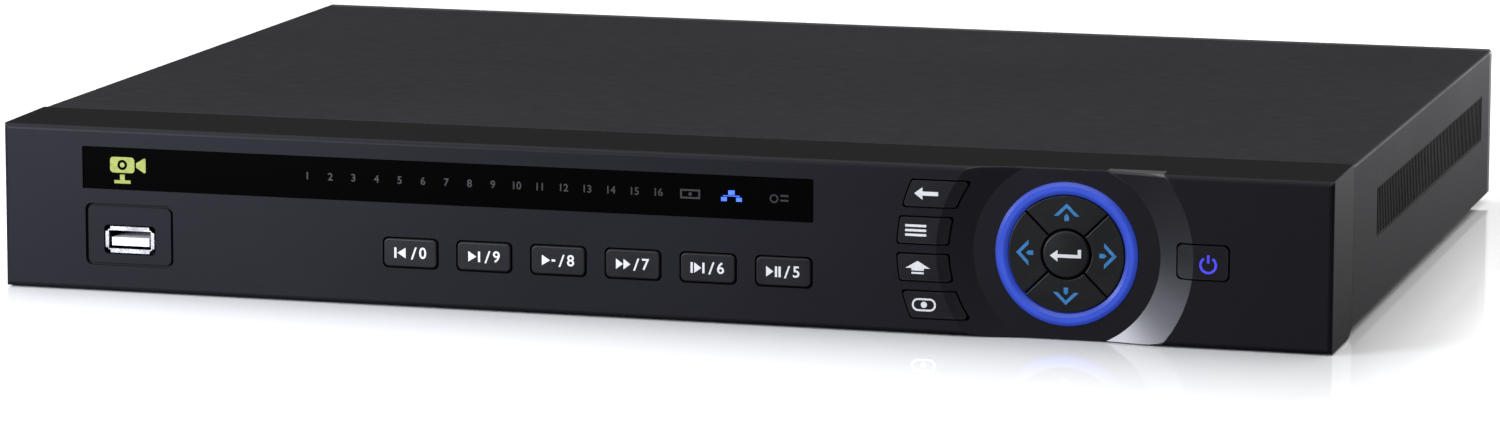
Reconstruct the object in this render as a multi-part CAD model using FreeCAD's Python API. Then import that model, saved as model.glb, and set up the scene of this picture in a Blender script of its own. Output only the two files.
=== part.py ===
"""A one-unit video recorder for security cameras, as an assembly of separate pieces.

The moulded bezel carries a smoked indicator window, a USB socket, ten push keys, a power key and a round
four-way pad with a lit ring. The ring sits in a shallow dish whose right flank is faced with a metal trim.
Behind the bezel a folded steel tray and a U-shaped steel cover hold the boards, a hard drive and a side fan.
The tray's rear wall holds the sockets: sixteen video inputs, audio, VGA, HDMI, USB, network and power.

Frame: +X to the right as seen from the front, +Y from the front to the back, +Z up, in millimetres.
The origin is on the ground under the middle of the recorder.
"""

import FreeCAD, Part
import math
import os

V = FreeCAD.Vector
X_AXIS = V(1, 0, 0)
Y_AXIS = V(0, 1, 0)
Z_AXIS = V(0, 0, 1)

# ---- Driving dimensions -------------------------------------------------------------------------------
WIDTH = 375.0  # over the bezel and the cover
BODY_DEPTH = 270.0  # bezel front to rear wall, without the sockets
SOCKET_REACH = 13.0  # how far the video sockets stand out of the rear wall
BEZEL_DEPTH = 30.0
BEZEL_HEIGHT = 46.4
CROWN_RISE = 0.5  # how far the bezel's top climbs from its front edge to the cover
BEZEL_CLEARANCE = 0.4  # bezel's lower edge above the ground
FOOT_HEIGHT = 3.0
SHEET = 1.0  # thickness of all folded steel
WALL = 2.4  # thickness of the moulded bezel
SEAM = 0.2  # gap between the bezel and the cover
BEND = 1.2  # outer radius of the cover's folds
EDGE_RADIUS = 1.4  # softening of the bezel's front edges
SKIRT_CHAMFER = (5.0, 1.9)  # run and rise of the slope under the bezel's back edge
KEY_PROUD = 0.4  # how far the straight keys stand out of the bezel

# ---- Planes worked out from them ----------------------------------------------------------------------
SIDE = WIDTH / 2
FRONT = -(BODY_DEPTH + SOCKET_REACH - KEY_PROUD) / 2
BEZEL_BACK = FRONT + BEZEL_DEPTH
REAR = FRONT + BODY_DEPTH
SOCKET_END = REAR + SOCKET_REACH
REAR_INNER = REAR - SHEET
BEZEL_BOTTOM = BEZEL_CLEARANCE
TOP = BEZEL_BOTTOM + BEZEL_HEIGHT
MIDDLE = BEZEL_BOTTOM + (BEZEL_HEIGHT - CROWN_RISE) / 2
FLOOR_BOTTOM = FOOT_HEIGHT
FLOOR_TOP = FLOOR_BOTTOM + SHEET
COVER_INNER_TOP = TOP - SHEET
COVER_FRONT = BEZEL_BACK + SEAM
REAR_FLANGE = 4.0  # depth of the rear wall's folded edge
LIP_DROP = 5.0  # flange at the cover's rear that takes the screws
JOGGLE = SHEET + SEAM  # how far the cover's rear edge steps down, under the rear wall's fold
COVER_BACK = REAR - REAR_FLANGE - SEAM
COVER_INNER_SIDE = SIDE - SHEET
TRAY_SIDE = COVER_INNER_SIDE - SEAM
FRONT_WALL = FRONT + 16.5  # tray's front wall, inside the bezel

# ---- Dial, keys and window on the bezel ---------------------------------------------------------------
DIAL_X = 115.2
DISH_OUTER = 35.0
DISH_FLOOR = 25.5
DISH_DEPTH = 3.0
TRIM_THICK = 0.5
RING_OUTER = 19.4
RING_INNER = 16.1
PAD_OUTER = 15.8
PAD_INNER = 6.9
PAD_ANGLES = {"pad_right": 0.0, "pad_up": 90.0, "pad_left": 180.0, "pad_down": 270.0}
PAD_SLIT = 0.5
PAD_FRONT = FRONT + DISH_DEPTH - 0.35
PAD_FLANGE_FRONT = FRONT + DISH_DEPTH + 2.25
ENTER_RADIUS = 6.35
KEY_GAP = 0.45  # clearance all round a key in its opening
KEY_TRAVEL = 0.7
FLANGE_FRONT = FRONT + 3.9  # retaining flanges of the straight keys
FLANGE = 1.0
BOARD_FRONT = FRONT + 12.0  # face of the key board that carries the switches
BOARD_THICK = 1.6
SWITCH_FRONT = BOARD_FRONT - 4.8
STEM_END = SWITCH_FRONT - KEY_TRAVEL - 0.1

TRANSPORT_KEYS = ["key_back_0", "key_next_9", "key_slow_8", "key_fast_7", "key_step_6", "key_pause_5"]
TRANSPORT_FIRST_X = -68.0
TRANSPORT_PITCH = 21.2
TRANSPORT_Z = 15.3
TRANSPORT_WIDTH = 15.3
TRANSPORT_HEIGHT = 7.8

FUNCTION_KEYS = ["key_escape", "key_function", "key_shift", "key_record"]
FUNCTION_PITCH = 10.05
FUNCTION_TOP_Z = MIDDLE + 1.5 * FUNCTION_PITCH
FUNCTION_HEIGHT = 7.0
FUNCTION_INNER = 32.0  # arc of the ends that face the dial
FUNCTION_OUTER = 45.6
FUNCTION_STEM_X = DIAL_X - 38.5

POWER_X = 152.6
POWER_WIDTH = 13.8
POWER_HEIGHT = 9.0

WINDOW_LEFT = -164.1
WINDOW_RIGHT = 46.2
WINDOW_BOTTOM = 29.0
WINDOW_TOP = 40.9
WINDOW_SET_BACK = 0.45
INDICATOR_XS = [-98.0 + 6.7 * i for i in range(16)] + [11.5, 23.2, 36.0]
INDICATOR_Z = 35.25

USB_X = -150.4
USB_Z = 14.95
USB_LIP = (14.4, 7.4)
USB_MOUTH = (12.5, 5.1)
USB_METAL = 0.3
USB_FIELD = (26.0, 17.5, 0.25)  # width, height and depth of the recess around the front socket
USB_FIELD_Z = 16.3
USB_GROOVE = (0.8, 1.2)  # width and depth of the groove around that recess

VENT_FRONT = FRONT + 67.0
VENT_BACK = FRONT + 252.0
VENT_BOTTOM = 21.0
VENT_TOP = 35.0
VENT_SLOTS = 71
VENT_WEB = 1.1  # metal between two slots
VENT_BORDER = 0.6  # metal round the slots
VENT_PANEL = 1.2  # thickness of the slotted panel
VENT_RIM = 3.0  # how far its rim reaches past the opening

# ---- Inside and on the rear wall ----------------------------------------------------------------------
MAIN_BOARD_Z = FLOOR_TOP + 5.0
MAIN_BOARD_TOP = MAIN_BOARD_Z + BOARD_THICK
MAIN_BOARD_SIDE = 168.0
MAIN_BOARD_FRONT = 18.0
BOARD_SCREWS = [(x, y) for x in (-160.0, 0.0, 160.0) for y in (24.0, 100.0)]
KEY_BOARD = (-179.0, 179.0, 7.0, 42.0)  # left, right, lower and upper edge
KEY_BOARD_SCREWS = [(-174.0, 30.0), (-125.0, 12.0), (57.0, 12.0), (57.0, 36.0), (173.0, 12.0), (173.0, 36.0)]
CHIP = (62.0, 66.0, 31.0)  # centre and side of the processor
CHIP_HEIGHT = 2.4
RIBBON_X = 66.0
FOOT_PLACES = [(x, y) for x in (-160.0, 160.0) for y in (-92.0, 104.0)]

DRIVE_X = -160.0  # left end of the drive
DRIVE_Y = -102.0  # front of the drive
DRIVE_SIZE = (147.0, 101.6, 26.1)
DRIVE_Z = FLOOR_TOP + 3.0
DRIVE_TOP = DRIVE_Z + DRIVE_SIZE[2]
DRIVE_LID = 1.6
SPINDLE = (DRIVE_X + 51.0, DRIVE_Y + DRIVE_SIZE[1] / 2)
ARM_PIVOT = (SPINDLE[0] + 56.0, SPINDLE[1] - 22.0)
DRIVE_SCREWS = [(DRIVE_X + dx, DRIVE_Y + dy) for dx in (41.6, 117.8) for dy in (3.2, 98.4)]

FAN_SIZE = 40.0
FAN_DEPTH = 10.0
FAN_BORE = 19.0
FAN_HUB = 9.5
FAN_X = -(TRAY_SIDE - SHEET - 0.1)  # face towards the side vent
FAN_Y = -28.0
FAN_Z = FLOOR_TOP + FAN_SIZE / 2 + 0.4

VIDEO_XS = [-54.0 - 15.8 * i for i in range(8)]
JACK_ROWS = (15.5, 33.0)
AUDIO_XS = [-18.0, -32.0]
AUDIO_PAIRS = [(x, z) for x in AUDIO_XS for z in (16.5, 32.0)]
VIDEO_PLACES = [(x, z) for x in VIDEO_XS for z in JACK_ROWS]
BNC_RADIUS = 4.8
BNC_BORE = 4.05
AUDIO_RADIUS = 4.15
AUDIO_REACH = 9.0
PORT_BASE = MAIN_BOARD_TOP
TERMINAL_X = 8.0
TERMINAL_DEPTH = 8.0
VGA_X = 46.0
VGA_Z = PORT_BASE + 8.0
VGA_PITCH = 25.0
VGA_THREAD = 1.42
HDMI_X = 76.0
HDMI_Z = PORT_BASE + 4.6
REAR_USB_X = 97.0
REAR_USB_Z = PORT_BASE + 4.0
NETWORK_X = 118.0
DC_X = 139.0
DC_Z = PORT_BASE + 6.2
ROCKER_X = 159.0
ROCKER_SWING = 20.0
PIVOT_Y = REAR + 0.3
TRUNNION = 1.0
COVER_SCREW_XS = (-178.0, -90.0, 0.0, 90.0, 178.0)
COVER_SCREW_Z = TOP - 5.4
GROUND_SCREW = (178.0, 14.0)


# ---- Small tools --------------------------------------------------------------------------------------
def block(x0, x1, y0, y1, z0, z1):
    """A box between two corners."""
    return Part.makeBox(x1 - x0, y1 - y0, z1 - z0, V(x0, y0, z0))


def rod(x, y, z, radius, length, axis):
    """A cylinder that starts at a point and runs along an axis."""
    return Part.makeCylinder(radius, length, V(x, y, z), axis)


def rounded(shape, radius, axis):
    """The shape with every straight edge along the axis rounded."""
    along = []
    for edge in shape.Edges:
        if edge.Curve.TypeId == "Part::GeomLine" and abs(edge.tangentAt(edge.FirstParameter) * axis) > 0.999:
            along.append(edge)
    return shape.makeFillet(radius, along)


def edges_at_y(shape, y):
    """The edges that lie in the plane at y."""
    return [e for e in shape.Edges if abs(e.BoundBox.YMin - y) < 1e-3 and abs(e.BoundBox.YMax - y) < 1e-3]


def join(pieces):
    """Several touching solids as one."""
    return pieces[0].multiFuse(pieces[1:]).removeSplitter()


def plate(x, z, width, height, y0, y1, radius):
    """An upright plate with rounded corners, centred on x and z, between two planes."""
    flat = block(x - width / 2, x + width / 2, y0, y1, z - height / 2, z + height / 2)
    return rounded(flat, radius, Y_AXIS)


def turned(profile, x, z):
    """A ring turned about the axis along Y through x and z, from (radius, y) points."""
    points = [V(x + radius, y, z) for radius, y in profile]
    face = Part.Face(Part.makePolygon(points + points[:1]))
    return face.revolve(V(x, 0, z), Y_AXIS, 360)


def upright_prism(points, y0, y1):
    """A prism along Y over a polygon of (x, z) points."""
    corners = [V(x, y0, z) for x, z in points]
    return Part.Face(Part.makePolygon(corners + corners[:1])).extrude(V(0, y1 - y0, 0))


def cross_prism(points, x0, x1):
    """A prism along X over a polygon of (y, z) points."""
    corners = [V(x0, y, z) for y, z in points]
    return Part.Face(Part.makePolygon(corners + corners[:1])).extrude(V(x1 - x0, 0, 0))


def hexagon(x, z, across, y0, y1):
    """A hexagonal prism along Y."""
    radius = across / math.sqrt(3)
    corners = [math.radians(60 * i) for i in range(6)]
    return upright_prism([(x + radius * math.cos(a), z + radius * math.sin(a)) for a in corners], y0, y1)


def pan_screw(x, y, z, axis, reach, head=2.8, shank=1.4, head_height=1.7):
    """A pan-head screw with its head's seat at the point; the shank runs along the axis."""
    back = V(x, y, z) - axis * head_height
    cap = rod(back.x, back.y, back.z, head, head_height, axis)
    top_edge = [e for e in cap.Edges if e.Length > 6 and (e.CenterOfMass - back).Length < 1e-3]
    cap = cap.makeFillet(0.9, top_edge)
    slot = Part.makeBox(0.9, 0.9, 3.6, V(-0.45, -0.2, -1.8))
    cross = [slot, slot.rotated(V(0, 0, 0), Y_AXIS, 90)]
    for cutter in cross:
        if abs(axis.z) > 0.5:
            cutter = cutter.rotated(V(0, 0, 0), X_AXIS, 90)
        cap = cap.cut(cutter.translated(back + axis * 0.2))
    return join([cap, rod(x, y, z, shank, reach, axis)])


# ---- Bezel --------------------------------------------------------------------------------------------
def front_envelope():
    """Everything behind the bezel's outer surface: a wedge-topped bar with soft edges and the dial's dish."""
    profile = [(FRONT, BEZEL_BOTTOM), (BEZEL_BACK, BEZEL_BOTTOM), (BEZEL_BACK, TOP), (FRONT, TOP - CROWN_RISE)]
    body = cross_prism(profile, -SIDE, SIDE)
    body = body.makeFillet(EDGE_RADIUS, edges_at_y(body, FRONT))
    slope = (DISH_OUTER - DISH_FLOOR) / DISH_DEPTH
    dish = Part.makeCone(DISH_OUTER + slope, DISH_FLOOR, DISH_DEPTH + 1, V(DIAL_X, FRONT - 1, MIDDLE), Y_AXIS)
    return body.cut(dish)


ENVELOPE = front_envelope()


def function_outline(name, grow=0.0):
    """Prism over a function key: level top and bottom, ends on arcs about the dial."""
    z = FUNCTION_TOP_Z - FUNCTION_PITCH * FUNCTION_KEYS.index(name)
    outer = rod(DIAL_X, FRONT - 2, MIDDLE, FUNCTION_OUTER + grow, WALL + 6, Y_AXIS)
    inner = rod(DIAL_X, FRONT - 2, MIDDLE, FUNCTION_INNER - grow, WALL + 6, Y_AXIS)
    half = FUNCTION_HEIGHT / 2 + grow
    band = block(DIAL_X - 60, DIAL_X, FRONT - 2, FRONT + WALL + 4, z - half, z + half)
    return rounded(band.common(outer).cut(inner), 0.8, Y_AXIS)


def power_outline(grow=0.0):
    """Prism over the power key."""
    width = POWER_WIDTH + 2 * grow
    height = POWER_HEIGHT + 2 * grow
    return plate(POWER_X, MIDDLE, width, height, FRONT - 2, FRONT + WALL + 4, 1.5)


def transport_x(name):
    """Centre of a transport key."""
    return TRANSPORT_FIRST_X + TRANSPORT_PITCH * TRANSPORT_KEYS.index(name)


def front_bezel():
    """The moulded front, open at the back, with its openings and screw bosses."""
    cavity = block(
        -SIDE + WALL, SIDE - WALL, FRONT, BEZEL_BACK + 1, BEZEL_BOTTOM + SKIRT_CHAMFER[1], TOP - WALL
    )
    shell = ENVELOPE.cut(cavity.common(ENVELOPE.translated(V(0, WALL, 0))))
    run, rise = SKIRT_CHAMFER
    chamfer = cross_prism(
        [(BEZEL_BACK - run, BEZEL_BOTTOM), (BEZEL_BACK + 1, BEZEL_BOTTOM - 1),
         (BEZEL_BACK + 1, BEZEL_BOTTOM + rise * (run + 1) / run)],
        -SIDE - 1, SIDE + 1,
    )
    cuts = [chamfer, rod(DIAL_X, FRONT, MIDDLE, RING_OUTER + 0.1, WALL + 5, Y_AXIS)]
    window_x = (WINDOW_LEFT + WINDOW_RIGHT) / 2
    window_z = (WINDOW_BOTTOM + WINDOW_TOP) / 2
    window_width = WINDOW_RIGHT - WINDOW_LEFT
    window_height = WINDOW_TOP - WINDOW_BOTTOM
    cuts.append(plate(window_x, window_z, window_width, window_height, FRONT - 1, FRONT + WALL + 1, 0.4))
    width, height, depth = USB_FIELD
    groove, groove_depth = USB_GROOVE
    moat = plate(USB_X, USB_FIELD_Z, width, height, FRONT - 1, FRONT + groove_depth, 2.0)
    island = plate(
        USB_X, USB_FIELD_Z, width - 2 * groove, height - 2 * groove, FRONT + depth, FRONT + WALL, 1.6
    )
    cuts.append(moat.cut(island))
    lip_width, lip_height = USB_LIP
    cuts.append(plate(USB_X, USB_Z, lip_width + 0.8, lip_height + 0.8, FRONT, FRONT + WALL + 1, 1.2))
    for name in TRANSPORT_KEYS:
        width = TRANSPORT_WIDTH + 2 * KEY_GAP
        height = TRANSPORT_HEIGHT + 2 * KEY_GAP
        cuts.append(plate(transport_x(name), TRANSPORT_Z, width, height, FRONT - 1, FRONT + WALL + 1, 1.6))
    for name in FUNCTION_KEYS:
        cuts.append(function_outline(name, KEY_GAP))
    cuts.append(power_outline(KEY_GAP))
    cuts.append(crescent_trim_seat())
    shell = shell.cut(Part.makeCompound(cuts))
    bosses = [rod(x, FRONT + WALL - 0.2, z, 3.2, BOARD_FRONT - FRONT - WALL + 0.2, Y_AXIS)
              for x, z in KEY_BOARD_SCREWS]
    shell = join([shell] + bosses)
    pilots = [rod(x, BOARD_FRONT - 6, z, 1.4, 7, Y_AXIS) for x, z in KEY_BOARD_SCREWS]
    return shell.cut(Part.makeCompound(pilots))


def crescent_region():
    """The dish's flank to the right of the dial."""
    length = DISH_DEPTH + 4
    ring = rod(DIAL_X, FRONT - 1, MIDDLE, DISH_OUTER, length, Y_AXIS)
    ring = ring.cut(rod(DIAL_X, FRONT - 1, MIDDLE, DISH_FLOOR, length, Y_AXIS))
    right = block(DIAL_X + 8, DIAL_X + 40, FRONT - 1, FRONT + length, BEZEL_BOTTOM - 1, TOP + 1)
    return ring.common(right)


def crescent_trim_seat():
    """The skin of the dish that is taken away for the trim."""
    skin = ENVELOPE.cut(ENVELOPE.translated(V(0, TRIM_THICK, 0)))
    return skin.common(crescent_region())


def crescent_trim():
    """A thin bright trim that lies flush in the right flank of the dish."""
    return crescent_trim_seat().cut(power_outline(KEY_GAP))


def display_window():
    """The smoked strip over the indicators, with a flange behind the wall."""
    x = (WINDOW_LEFT + WINDOW_RIGHT) / 2
    z = (WINDOW_BOTTOM + WINDOW_TOP) / 2
    width = WINDOW_RIGHT - WINDOW_LEFT
    height = WINDOW_TOP - WINDOW_BOTTOM
    pane = plate(x, z, width - 0.2, height - 0.2, FRONT + WINDOW_SET_BACK, FRONT + WALL + 0.1, 0.3)
    flange = plate(x, z, width + 3, height + 2.4, FRONT + WALL + 0.1, FRONT + WALL + 1.1, 0.3)
    return join([pane, flange])


def light_ring():
    """The translucent ring around the four-way pad, held by a flange behind the dish."""
    dish = FRONT + DISH_DEPTH
    profile = [
        (RING_INNER, dish - 0.2), (RING_INNER + 1.0, dish - 0.8), (RING_OUTER - 1.0, dish - 0.8),
        (RING_OUTER, dish - 0.2), (RING_OUTER, dish + WALL + 0.1), (RING_OUTER + 1.2, dish + WALL + 0.1),
        (RING_OUTER + 1.2, dish + WALL + 1.3), (RING_INNER + 1.0, dish + WALL + 1.3),
        (RING_INNER + 1.0, dish + 2.1), (RING_INNER, dish + 2.1),
    ]
    return turned(profile, DIAL_X, MIDDLE)


# ---- Keys ---------------------------------------------------------------------------------------------
def stem(x, z, start):
    """The post of a key that reaches towards its switch."""
    return rod(x, start, z, 1.8, STEM_END - start, Y_AXIS)


def transport_key(name):
    """A rounded key cap with a retaining flange."""
    x = transport_x(name)
    cap = plate(x, TRANSPORT_Z, TRANSPORT_WIDTH, TRANSPORT_HEIGHT, FRONT - KEY_PROUD, FLANGE_FRONT, 1.4)
    cap = cap.makeFillet(0.45, edges_at_y(cap, FRONT - KEY_PROUD))
    flange = plate(
        x, TRANSPORT_Z, TRANSPORT_WIDTH + 1.8, TRANSPORT_HEIGHT + 1.8,
        FLANGE_FRONT, FLANGE_FRONT + FLANGE, 1.6,
    )
    return join([cap, flange, stem(x, TRANSPORT_Z, FLANGE_FRONT)])


def faced_cap(outline, proud, back):
    """A cap over an outline whose face follows the bezel's flat face and dish."""
    front = ENVELOPE.translated(V(0, -proud, 0))
    deep = block(-SIDE, SIDE, FRONT - 1, back, BEZEL_BOTTOM, TOP)
    return front.common(outline).common(deep)


def function_key(name):
    """A key beside the dial, curved to it at both ends."""
    z = FUNCTION_TOP_Z - FUNCTION_PITCH * FUNCTION_KEYS.index(name)
    cap = faced_cap(function_outline(name), 0.25, FLANGE_FRONT)
    half = FUNCTION_HEIGHT / 2 + 0.8
    flange = block(
        DIAL_X - FUNCTION_OUTER + 3.4, DIAL_X - FUNCTION_INNER, FLANGE_FRONT, FLANGE_FRONT + FLANGE,
        z - half, z + half,
    )
    return join([cap, flange, stem(FUNCTION_STEM_X, z, FLANGE_FRONT)])


def power_key():
    """The power key, whose left end lies on the flank of the dish."""
    flange_front = FLANGE_FRONT + 0.3
    cap = faced_cap(power_outline(), 0.25, flange_front)
    flange = plate(
        POWER_X, MIDDLE, POWER_WIDTH + 1.8, POWER_HEIGHT + 1.8, flange_front, flange_front + FLANGE, 1.6
    )
    return join([cap, flange, stem(POWER_X + 1, MIDDLE, flange_front)])


def pad_sector(angle, inner, outer, y0, y1):
    """A quarter of a ring, a slit narrower than the full quarter."""
    ring = rod(DIAL_X, y0, MIDDLE, outer, y1 - y0, Y_AXIS)
    ring = ring.cut(rod(DIAL_X, y0, MIDDLE, inner, y1 - y0, Y_AXIS))
    half = PAD_SLIT / 2
    far = 30.0
    wedge = upright_prism([(half * math.sqrt(2), 0), (far, far - half), (far, half - far)], y0, y1)
    wedge = wedge.translated(V(DIAL_X, 0, MIDDLE)).rotated(V(DIAL_X, 0, MIDDLE), Y_AXIS, -angle)
    return ring.common(wedge)


def pad_key(name):
    """One quarter of the four-way pad."""
    angle = PAD_ANGLES[name]
    cap = pad_sector(angle, PAD_INNER, PAD_OUTER, PAD_FRONT, PAD_FLANGE_FRONT)
    cap = cap.makeFillet(0.3, edges_at_y(cap, PAD_FRONT))
    flange = pad_sector(angle, PAD_INNER, PAD_OUTER + 0.9, PAD_FLANGE_FRONT, PAD_FLANGE_FRONT + 0.8)
    reach = (PAD_INNER + PAD_OUTER) / 2
    x = DIAL_X + reach * math.cos(math.radians(angle))
    z = MIDDLE + reach * math.sin(math.radians(angle))
    return join([cap, flange, stem(x, z, PAD_FLANGE_FRONT)])


def enter_key():
    """The domed key in the middle of the pad."""
    face = FRONT + DISH_DEPTH - 0.9
    cap = rod(DIAL_X, face, MIDDLE, ENTER_RADIUS, PAD_FLANGE_FRONT - face, Y_AXIS)
    cap = cap.makeFillet(0.6, edges_at_y(cap, face))
    dome_radius = 60.0
    dome = Part.makeSphere(dome_radius, V(DIAL_X, face - 0.35 + dome_radius, MIDDLE))
    skirt = rod(DIAL_X, face - 1, MIDDLE, ENTER_RADIUS - 0.75, 2, Y_AXIS)
    return join([cap, dome.common(skirt), stem(DIAL_X, MIDDLE, PAD_FLANGE_FRONT)])


# ---- Front USB socket and key board -------------------------------------------------------------------
def usb_shell(x, z, mouth_y, depth, facing, rows=(0.0,)):
    """A folded metal USB shell with four flared lips; facing is -1 towards the front, 1 towards the back."""
    height = USB_MOUTH[1] + 2 * USB_METAL + max(rows) - min(rows)
    mid = z + (max(rows) + min(rows)) / 2
    inward = -facing
    near, far = sorted((mouth_y, mouth_y + inward * depth))
    lip_near, lip_far = sorted((mouth_y, mouth_y + inward * 0.5))
    tube = plate(x, mid, USB_MOUTH[0] + 2 * USB_METAL, height, near, far, 0.6)
    lip_height = height + USB_LIP[1] - USB_MOUTH[1] - 2 * USB_METAL
    lips = [
        plate(x, mid, USB_LIP[0] - 2.8, lip_height, lip_near, lip_far, 0.3),
        plate(x, mid, USB_LIP[0], lip_height - 2.8, lip_near, lip_far, 0.3),
    ]
    shell = join([tube] + lips)
    mouths = []
    for row in rows:
        mouth = block(
            x - USB_MOUTH[0] / 2, x + USB_MOUTH[0] / 2, near + USB_METAL, far + 1,
            z + row - USB_MOUTH[1] / 2, z + row + USB_MOUTH[1] / 2,
        )
        if facing < 0:
            mouth = mouth.translated(V(0, -1 - USB_METAL, 0))
        mouths.append(mouth)
    return shell.cut(Part.makeCompound(mouths))


def front_usb_shell():
    """The plated shell of the front USB socket."""
    return usb_shell(USB_X, USB_Z, FRONT + 0.3, BOARD_FRONT - FRONT - 0.3, -1)


def front_usb_tongue():
    """The moulded tongue inside the front USB socket."""
    back = BOARD_FRONT - USB_METAL
    return block(USB_X - 5.5, USB_X + 5.5, FRONT + 0.9, back, USB_Z - 1.75, USB_Z + 0.55)


def key_board():
    """The circuit board behind the keys."""
    x0, x1, z0, z1 = KEY_BOARD
    board = block(x0, x1, BOARD_FRONT, BOARD_FRONT + BOARD_THICK, z0, z1)
    holes = [rod(x, BOARD_FRONT - 1, z, 1.7, 4, Y_AXIS) for x, z in KEY_BOARD_SCREWS]
    return board.cut(Part.makeCompound(holes))


def key_places():
    """Where each key's stem meets its switch."""
    places = [(transport_x(name), TRANSPORT_Z) for name in TRANSPORT_KEYS]
    places += [(FUNCTION_STEM_X, FUNCTION_TOP_Z - FUNCTION_PITCH * i) for i in range(len(FUNCTION_KEYS))]
    reach = (PAD_INNER + PAD_OUTER) / 2
    for angle in PAD_ANGLES.values():
        turn = math.radians(angle)
        places.append((DIAL_X + reach * math.cos(turn), MIDDLE + reach * math.sin(turn)))
    return places + [(DIAL_X, MIDDLE), (POWER_X + 1, MIDDLE)]


def tact_switches():
    """One tactile switch behind each key, with its plunger at its pressed height."""
    half = 3.0
    made = []
    for x, z in key_places():
        body = block(x - half, x + half, BOARD_FRONT - 4.3, BOARD_FRONT, z - half, z + half)
        made.append(join([body, rod(x, SWITCH_FRONT, z, 1.5, 1.0, Y_AXIS)]))
    return Part.makeCompound(made)


def indicator_leds():
    """The indicator lamps behind the window and the eight that light the ring."""
    made = [block(x - 0.8, x + 0.8, BOARD_FRONT - 1, BOARD_FRONT, INDICATOR_Z - 0.4, INDICATOR_Z + 0.4)
            for x in INDICATOR_XS]
    middle = (RING_INNER + RING_OUTER) / 2
    for i in range(8):
        turn = math.radians(45 * i + 22.5)
        x = DIAL_X + middle * math.cos(turn)
        z = MIDDLE + middle * math.sin(turn)
        made.append(block(x - 0.8, x + 0.8, BOARD_FRONT - 1, BOARD_FRONT, z - 0.8, z + 0.8))
    return Part.makeCompound(made)


# ---- Sheet metal --------------------------------------------------------------------------------------
def top_cover():
    """The folded cover: a top, two sides with a vent opening each, and a stepped-down rear edge."""
    body = block(-SIDE, SIDE, COVER_FRONT, COVER_BACK, FLOOR_BOTTOM, TOP)
    long_edges = [e for e in body.Edges if abs(e.BoundBox.ZMin - TOP) < 1e-3 and e.BoundBox.YLength > 200]
    body = body.makeFillet(BEND, long_edges)
    inner = block(
        -COVER_INNER_SIDE, COVER_INNER_SIDE, COVER_FRONT - 1, COVER_BACK + 1, FLOOR_BOTTOM - 1, COVER_INNER_TOP
    )
    vents = rounded(block(-SIDE - 1, SIDE + 1, VENT_FRONT, VENT_BACK, VENT_BOTTOM, VENT_TOP), 0.8, X_AXIS)
    body = body.cut(inner).cut(vents)
    step_side = TRAY_SIDE - SHEET
    step_top = TOP - JOGGLE
    lip_back = REAR_INNER - SEAM
    step = block(-step_side, step_side, COVER_BACK - 3, COVER_BACK, step_top - SHEET, COVER_INNER_TOP)
    ledge = block(-step_side, step_side, COVER_BACK - 1, lip_back, step_top - SHEET, step_top)
    lip = block(-step_side, step_side, lip_back - SHEET, lip_back, step_top - SHEET - LIP_DROP, step_top)
    threads = [rod(x, lip_back - 3, COVER_SCREW_Z, 1.45, 4, Y_AXIS) for x in COVER_SCREW_XS]
    return join([body, step, ledge, lip]).cut(Part.makeCompound(threads))


def vent_grille(side):
    """A pressed panel that fills one vent opening, full of upright slots, with a rim behind the cover."""
    face = SIDE - SEAM / 2
    back = face - VENT_PANEL
    low = VENT_BOTTOM + VENT_BORDER
    high = VENT_TOP - VENT_BORDER
    first = VENT_FRONT + VENT_BORDER
    last = VENT_BACK - VENT_BORDER
    filling = block(
        back, face, VENT_FRONT + SEAM / 2, VENT_BACK - SEAM / 2, VENT_BOTTOM + SEAM / 2, VENT_TOP - SEAM / 2
    )
    rim = block(
        back - VENT_PANEL / 2, COVER_INNER_SIDE - 0.05, VENT_FRONT - VENT_RIM, VENT_BACK + VENT_RIM,
        VENT_BOTTOM - VENT_RIM, VENT_TOP + VENT_RIM,
    )
    rim = rim.cut(block(back - VENT_PANEL, face, first, last, low, high))
    pitch = (last - first + VENT_WEB) / VENT_SLOTS
    slots = []
    for i in range(VENT_SLOTS):
        start = first + pitch * i
        slots.append(block(back - 1, face + 1, start, start + pitch - VENT_WEB, low, high))
    grille = join([rounded(filling, 0.7, X_AXIS), rim]).cut(Part.makeCompound(slots))
    return grille if side > 0 else grille.mirror(V(0, 0, 0), X_AXIS)


def vent_grilles():
    """Both slotted panels."""
    return Part.makeCompound([vent_grille(-1), vent_grille(1)])


def rear_openings():
    """Cutters for every socket in the rear wall."""
    y0 = REAR_INNER - 1
    y1 = REAR + 1
    cuts = [rod(x, y0, z, 5.4, y1 - y0, Y_AXIS) for x, z in VIDEO_PLACES]
    cuts += [rod(x, y0, z, 4.6, y1 - y0, Y_AXIS) for x, z in AUDIO_PAIRS]
    cuts.append(block(TERMINAL_X - 15.4, TERMINAL_X + 15.4, y0, y1, 9.8, 21.2))
    cuts.append(plate(VGA_X, VGA_Z, 17.6, 9.2, y0, y1, 2.0))
    cuts += [rod(VGA_X + dx, y0, VGA_Z, 2.0, y1 - y0, Y_AXIS) for dx in (-VGA_PITCH / 2, VGA_PITCH / 2)]
    cuts.append(plate(HDMI_X, HDMI_Z, 15.8, 6.4, y0, y1, 0.6))
    cuts.append(plate(REAR_USB_X, REAR_USB_Z + 3.5, USB_MOUTH[0] + 1.4, 14.0, y0, y1, 0.6))
    cuts.append(block(NETWORK_X - 8.4, NETWORK_X + 8.4, y0, y1, PORT_BASE - 0.1, PORT_BASE + 13.9))
    cuts.append(plate(DC_X, DC_Z, 9.6, 11.4, y0, y1, 0.6))
    cuts.append(block(ROCKER_X - 6.6, ROCKER_X + 6.6, y0, y1, MIDDLE - 9.6, MIDDLE + 9.6))
    cuts += [rod(x, y0, COVER_SCREW_Z, 1.7, y1 - y0, Y_AXIS) for x in COVER_SCREW_XS]
    cuts.append(rod(GROUND_SCREW[0], y0, GROUND_SCREW[1], 1.45, y1 - y0, Y_AXIS))
    return cuts


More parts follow.
